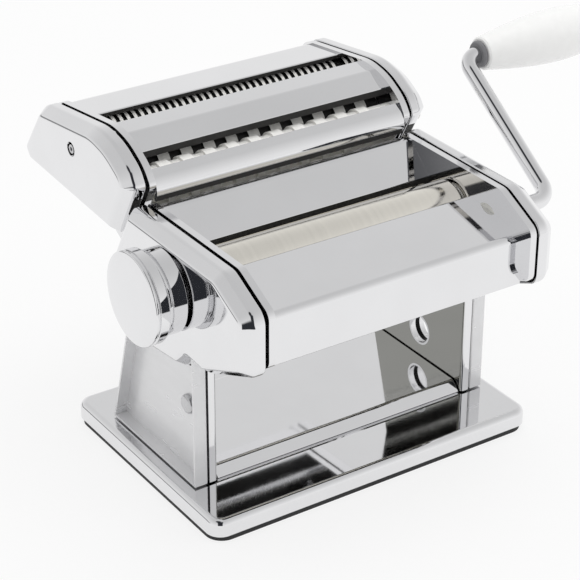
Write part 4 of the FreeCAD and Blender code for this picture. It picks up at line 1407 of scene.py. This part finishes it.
@dataclass
class Crank:
    """Bent rod with a white moulded handle."""

    radius: float = 4.25
    around: int = 40
    socket: SidePoint = (-50.9, 119.8)
    inner_x: float = 79.0
    arm_x: float = 115.0
    handle: SidePoint = (22.5, 170.0)
    bend: float = 8.5
    bend_steps: int = 14
    rod_end: float = 195.0
    smooth_angle: float = 50.0
    ferrule: Span = (123.5, 125.7)
    ferrule_radius: float = 7.0
    ferrule_steps: int = 64
    edge: float = 0.8
    grip: Span = (126.0, 207.0)
    grip_bore: float = 4.3
    grip_neck: float = 8.8
    grip_belly: float = 14.2
    belly_at: float = 50.0
    swell_steps: int = 16
    dome_steps: int = 12
    dome_power: float = 0.62
    end_wall: float = 10.0

    def rod(self) -> Piece:
        """Sweep the rod along its two bends.

        Returns:
            The finished rod.
        """
        Bench.clear()
        start = Vector((self.inner_x, *self.socket)) * MM
        bpy.ops.mesh.primitive_circle_add(
            vertices=self.around,
            radius=self.radius * MM,
            location=start,
            rotation=(0, math.pi / 2, 0),
        )
        bpy.ops.object.transform_apply(location=True, rotation=True, scale=True)
        rod = Bench.adopt("crank_bar")
        arm = Vector((0, self.handle[0] - self.socket[0], self.handle[1] - self.socket[1]))
        length = arm.length
        arm.normalize()
        side = Vector((1, 0, 0))
        axis = side.cross(arm)
        first = self.arm_x - self.inner_x - self.bend
        with Bench.editing(rod, "EDGE"):
            self.draw(side * first * MM)
            centre = start + (side * first + arm * self.bend) * MM
            self.turn(centre, axis, -90.0)
            run = arm * (length - 2 * self.bend) * MM
            self.draw(run)
            self.turn(centre + run + side * 2 * self.bend * MM, axis, 90.0)
            self.draw(side * (self.rod_end - self.arm_x - self.bend) * MM)
            bpy.ops.mesh.select_all(action="SELECT")
            bpy.ops.mesh.fill_holes(sides=0)
        Bench.tidy_normals(rod)
        Bench.smooth(rod, self.smooth_angle)
        return rod

    @staticmethod
    def draw(way: Vector) -> None:
        """Draw the selected loop out along a straight run."""
        bpy.ops.mesh.extrude_edges_move(TRANSFORM_OT_translate={"value": way})

    def turn(self, centre: Vector, axis: Vector, degrees: float) -> None:
        """Spin the selected loop through one bend."""
        angle = math.radians(degrees)
        bpy.ops.mesh.spin(steps=self.bend_steps, angle=angle, center=centre, axis=axis)

    def grip_profile(self) -> List[SidePoint]:
        """Outline of the handle, from its neck over its belly to the domed end.

        Returns:
            Points as x and radius.
        """
        start, end = self.grip
        swell = start + self.edge
        belly = start + self.belly_at
        points = [
            (start, self.grip_bore),
            (start, self.grip_neck - self.edge),
            (swell, self.grip_neck),
        ]
        for step in range(1, self.swell_steps + 1):
            share = step / self.swell_steps
            rise = (self.grip_belly - self.grip_neck) * math.sin(share * math.pi / 2)
            points.append((swell + (belly - swell) * share, self.grip_neck + rise))
        for step in range(1, self.dome_steps + 1):
            angle = step / self.dome_steps * math.pi / 2
            radius = self.grip_belly * math.cos(angle) ** self.dome_power
            points.append((belly + (end - belly) * math.sin(angle), radius))
        floor = end - self.end_wall
        return points + [(floor, 0.0), (floor, self.grip_bore), (start, self.grip_bore)]

    def build(self, shop: Workshop) -> None:
        """Make the rod, its ferrule and its handle, and fit them.

        Args:
            shop: keeps the finishes and hands the pieces over.
        """
        shop.fit(self.rod(), Body.CRANK, Slot.CHROME, "crank_rod")
        start, end = self.ferrule
        ring = [
            (start, self.radius),
            (start, self.ferrule_radius - self.edge),
            (start + self.edge, self.ferrule_radius),
            (end, self.ferrule_radius),
            (end, self.radius),
            (start, self.radius),
        ]
        ferrule = Bench.lathe(ring, self.handle, "handle_ring", self.ferrule_steps)
        shop.fit(ferrule, Body.CRANK, Slot.FERRULE, "handle_ferrule")
        handle = Bench.lathe(self.grip_profile(), self.handle, "grip", edge=0.0)
        shop.fit(handle, Body.HANDLE, Slot.WHITE, "crank_handle")


@dataclass(frozen=True)
class SoftBox:
    """Square lamp that lights the object and isn't mirrored by its metal.

    Attributes:
        name: the lamp's name.
        at: where it hangs.
        size: edge length of its face.
        power: its power in watts.
        aim: what it points at.
    """

    name: str
    at: Triple
    size: float
    power: float
    aim: Triple = (0.0, 0.0, 0.1)

    def hang(self) -> None:
        """Add the lamp to the scene."""
        data = bpy.data.lights.new(self.name, "AREA")
        data.shape = "SQUARE"
        data.size = self.size
        data.energy = self.power
        lamp = bpy.data.objects.new(self.name, data)
        lamp.visible_glossy = False
        lamp.location = self.at
        aim = Vector(self.aim) - Vector(self.at)
        lamp.rotation_euler = aim.to_track_quat("-Z", "Y").to_euler()
        bpy.context.scene.collection.objects.link(lamp)


@dataclass(frozen=True)
class Studio:
    """Pale floor, soft light, the dark room that the metal mirrors, and the camera.

    The dark parts of the room are given by the direction in which they lie and by the limits
    of a ray's run along it, to its side or upwards, between which they fade in.
    """

    camera_at: Triple = (-0.5047, -0.7435, 0.5649)
    look_at: Triple = (-0.00739, 0.0, 0.0805)
    lens: float = 126.36
    sensor: float = 36.0
    clip_start: float = 0.01
    roll: float = 0.0032
    lamps: Tuple[SoftBox, ...] = (
        SoftBox("top_box", (0.3, 0.3, 1.6), 1.4, 9.0),
        SoftBox("right_box", (1.3, -0.9, 0.8), 0.8, 3.0),
    )
    floor_size: float = 6.0
    floor_colour: Triple = (0.9, 0.9, 0.9)
    floor_roughness: float = 0.7
    floor_glow: float = 0.8
    room_light: float = 0.72
    ceiling_limits: Span = (0.1, 0.9)
    ceiling_light: Span = (0.92, 0.62)
    dark_tone: Triple = (0.030, 0.032, 0.038)
    figure_ahead: Triple = (-0.556, -0.831, 0.0)
    figure_reach: Span = (0.42, 0.55)
    figure_width: Span = (0.22, 0.32)
    spot_ahead: Triple = (-0.40, -0.26, 0.88)
    spot_reach: Span = (0.955, 0.99)
    wall_ahead: Triple = (-0.66, 0.75, 0.0)
    wall_reach: Span = (0.75, 0.93)
    wall_middle: float = 0.05
    wall_height: Span = (0.07, 0.17)
    wall_light: float = 0.3
    floor_end_reach: Span = (0.40, 0.44)
    floor_end_width: Span = (0.24, 0.34)

    def camera(self) -> None:
        """Set the camera at the photograph's viewing angle."""
        lens = bpy.data.cameras.new("photo_camera")
        lens.lens = self.lens
        lens.sensor_width = self.sensor
        lens.clip_start = self.clip_start
        lens.dof.use_dof = False
        camera = bpy.data.objects.new("photo_camera", lens)
        camera.location = self.camera_at
        aim = Vector(self.look_at) - Vector(self.camera_at)
        turn = aim.to_track_quat("-Z", "Y") @ Quaternion((0, 0, 1), self.roll)
        camera.rotation_euler = turn.to_euler()
        bpy.context.scene.collection.objects.link(camera)
        bpy.context.scene.camera = camera

    @staticmethod
    def seen(graph: Graph) -> Socket:
        """Tell the rays that show a background.

        Args:
            graph: the nodes.

        Returns:
            One for rays from the camera, off metal and through glass.
        """
        path = graph.add("ShaderNodeLightPath").outputs
        first = graph.math("MAXIMUM", path["Is Camera Ray"], path["Is Glossy Ray"])
        return graph.math("MAXIMUM", first, path["Is Transmission Ray"])

    def floor(self) -> None:
        """Lay the pale floor, whose shadow stays faint."""
        Bench.clear()
        bpy.ops.mesh.primitive_plane_add(size=self.floor_size, location=(0, 0, 0))
        floor = Bench.adopt("floor")
        made = bpy.data.materials.new("pale_floor")
        graph = Graph(made)
        shader = graph.nodes["Principled BSDF"]
        colour = (*self.floor_colour, 1.0)
        graph.feed(shader, {"Base Color": colour, "Roughness": self.floor_roughness})
        ended = self.floor_end(graph)
        tone = graph.ramp(ended, (FULL_WHITE, self.dark_tone))
        glow = graph.add("ShaderNodeEmission", {"Color": tone})
        share = graph.math("MULTIPLY", self.seen(graph), self.floor_glow)
        share = graph.math("MAXIMUM", share, ended)
        mixed = {"Fac": share, 1: shader.outputs["BSDF"], 2: glow.outputs["Emission"]}
        blend = graph.add("ShaderNodeMixShader", mixed)
        graph.feed(graph.nodes["Material Output"], {"Surface": blend.outputs["Shader"]})
        floor.data.materials.append(made)

    def floor_end(self, graph: Graph) -> Socket:
        """Dark end of the floor, at the feet of the dark figure.

        Args:
            graph: the nodes.

        Returns:
            One where metal sees it.
        """
        reach = graph.along(self.figure_ahead, "Object")
        slant = graph.math("DIVIDE", graph.aside(self.figure_ahead, "Object"), reach)
        inside = graph.fade(slant, self.floor_end_width, (1.0, 0.0))
        past = graph.fade(reach, self.floor_end_reach, (0.0, 1.0))
        path = graph.add("ShaderNodeLightPath").outputs
        return graph.math("MULTIPLY", graph.math("MULTIPLY", inside, past), path["Is Glossy Ray"])

    def spot(self, graph: Graph) -> Socket:
        """Light left over outside the small dark spot above the camera."""
        ahead = graph.along(self.spot_ahead, "Generated")
        return graph.fade(ahead, self.spot_reach, (1.0, 0.0))

    def figure(self, graph: Graph) -> Socket:
        """Light left over beside the tall dark figure behind the camera.

        Args:
            graph: the nodes.

        Returns:
            The share of the light.
        """
        ahead = graph.along(self.figure_ahead, "Generated")
        inside = graph.fade(ahead, self.figure_reach, (1.0, 0.0))
        aside = graph.aside(self.figure_ahead, "Generated")
        return graph.math("MAXIMUM", inside, graph.fade(aside, self.figure_width, (0.0, 1.0)))

    def wall(self, graph: Graph) -> Socket:
        """Light left over beside the low grey wall at the back left.

        Args:
            graph: the nodes.

        Returns:
            The share of the light.
        """
        ahead = graph.along(self.wall_ahead, "Generated")
        inside = graph.fade(ahead, self.wall_reach, (1.0, self.wall_light))
        lift = graph.math("SUBTRACT", graph.along((0, 0, 1), "Generated"), self.wall_middle)
        away = graph.math("ABSOLUTE", lift)
        return graph.math("MAXIMUM", inside, graph.fade(away, self.wall_height, (0.0, 1.0)))

    def ceiling(self, graph: Graph) -> Socket:
        """Light that falls off from the horizon to the ceiling."""
        height = graph.along((0, 0, 1), "Generated")
        return graph.spread(height, self.ceiling_limits, self.ceiling_light)

    def world(self) -> None:
        """White background, with the dark room behind the camera for the metal to show."""
        world = bpy.data.worlds.new("studio")
        bpy.context.scene.world = world
        graph = Graph(world)
        graph.nodes.clear()
        light = self.figure(graph)
        for part in (self.spot, self.wall, self.ceiling):
            light = graph.math("MULTIPLY", light, part(graph))
        path = graph.add("ShaderNodeLightPath").outputs
        shown = graph.math("MAXIMUM", light, path["Is Camera Ray"])
        tone = graph.ramp(shown, (self.dark_tone, FULL_WHITE))
        backdrop = graph.add("ShaderNodeBackground", {"Color": tone})
        even = {"Color": (*FULL_WHITE, 1.0), "Strength": self.room_light}
        room = graph.add("ShaderNodeBackground", even)
        sides = {1: room.outputs["Background"], 2: backdrop.outputs["Background"]}
        pick = graph.add("ShaderNodeMixShader", {"Fac": self.seen(graph), **sides})
        graph.add("ShaderNodeOutputWorld", {"Surface": pick.outputs["Shader"]})

    def build(self) -> None:
        """Set up view settings, world, floor, lamps and camera."""
        bpy.context.scene.view_settings.view_transform = "Standard"
        self.world()
        self.floor()
        for lamp in self.lamps:
            lamp.hang()
        self.camera()


def main() -> None:
    """Build every class in order around the frame."""
    logging.basicConfig(level=logging.INFO)
    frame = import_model()
    shop = Workshop(frame)
    for maker in (BaseTray(), EndCaps(), Hoods(), Rollers(), GapKnob(), Crank()):
        maker.build(shop)
    Studio().build()


if __name__ == "__main__":
    main()
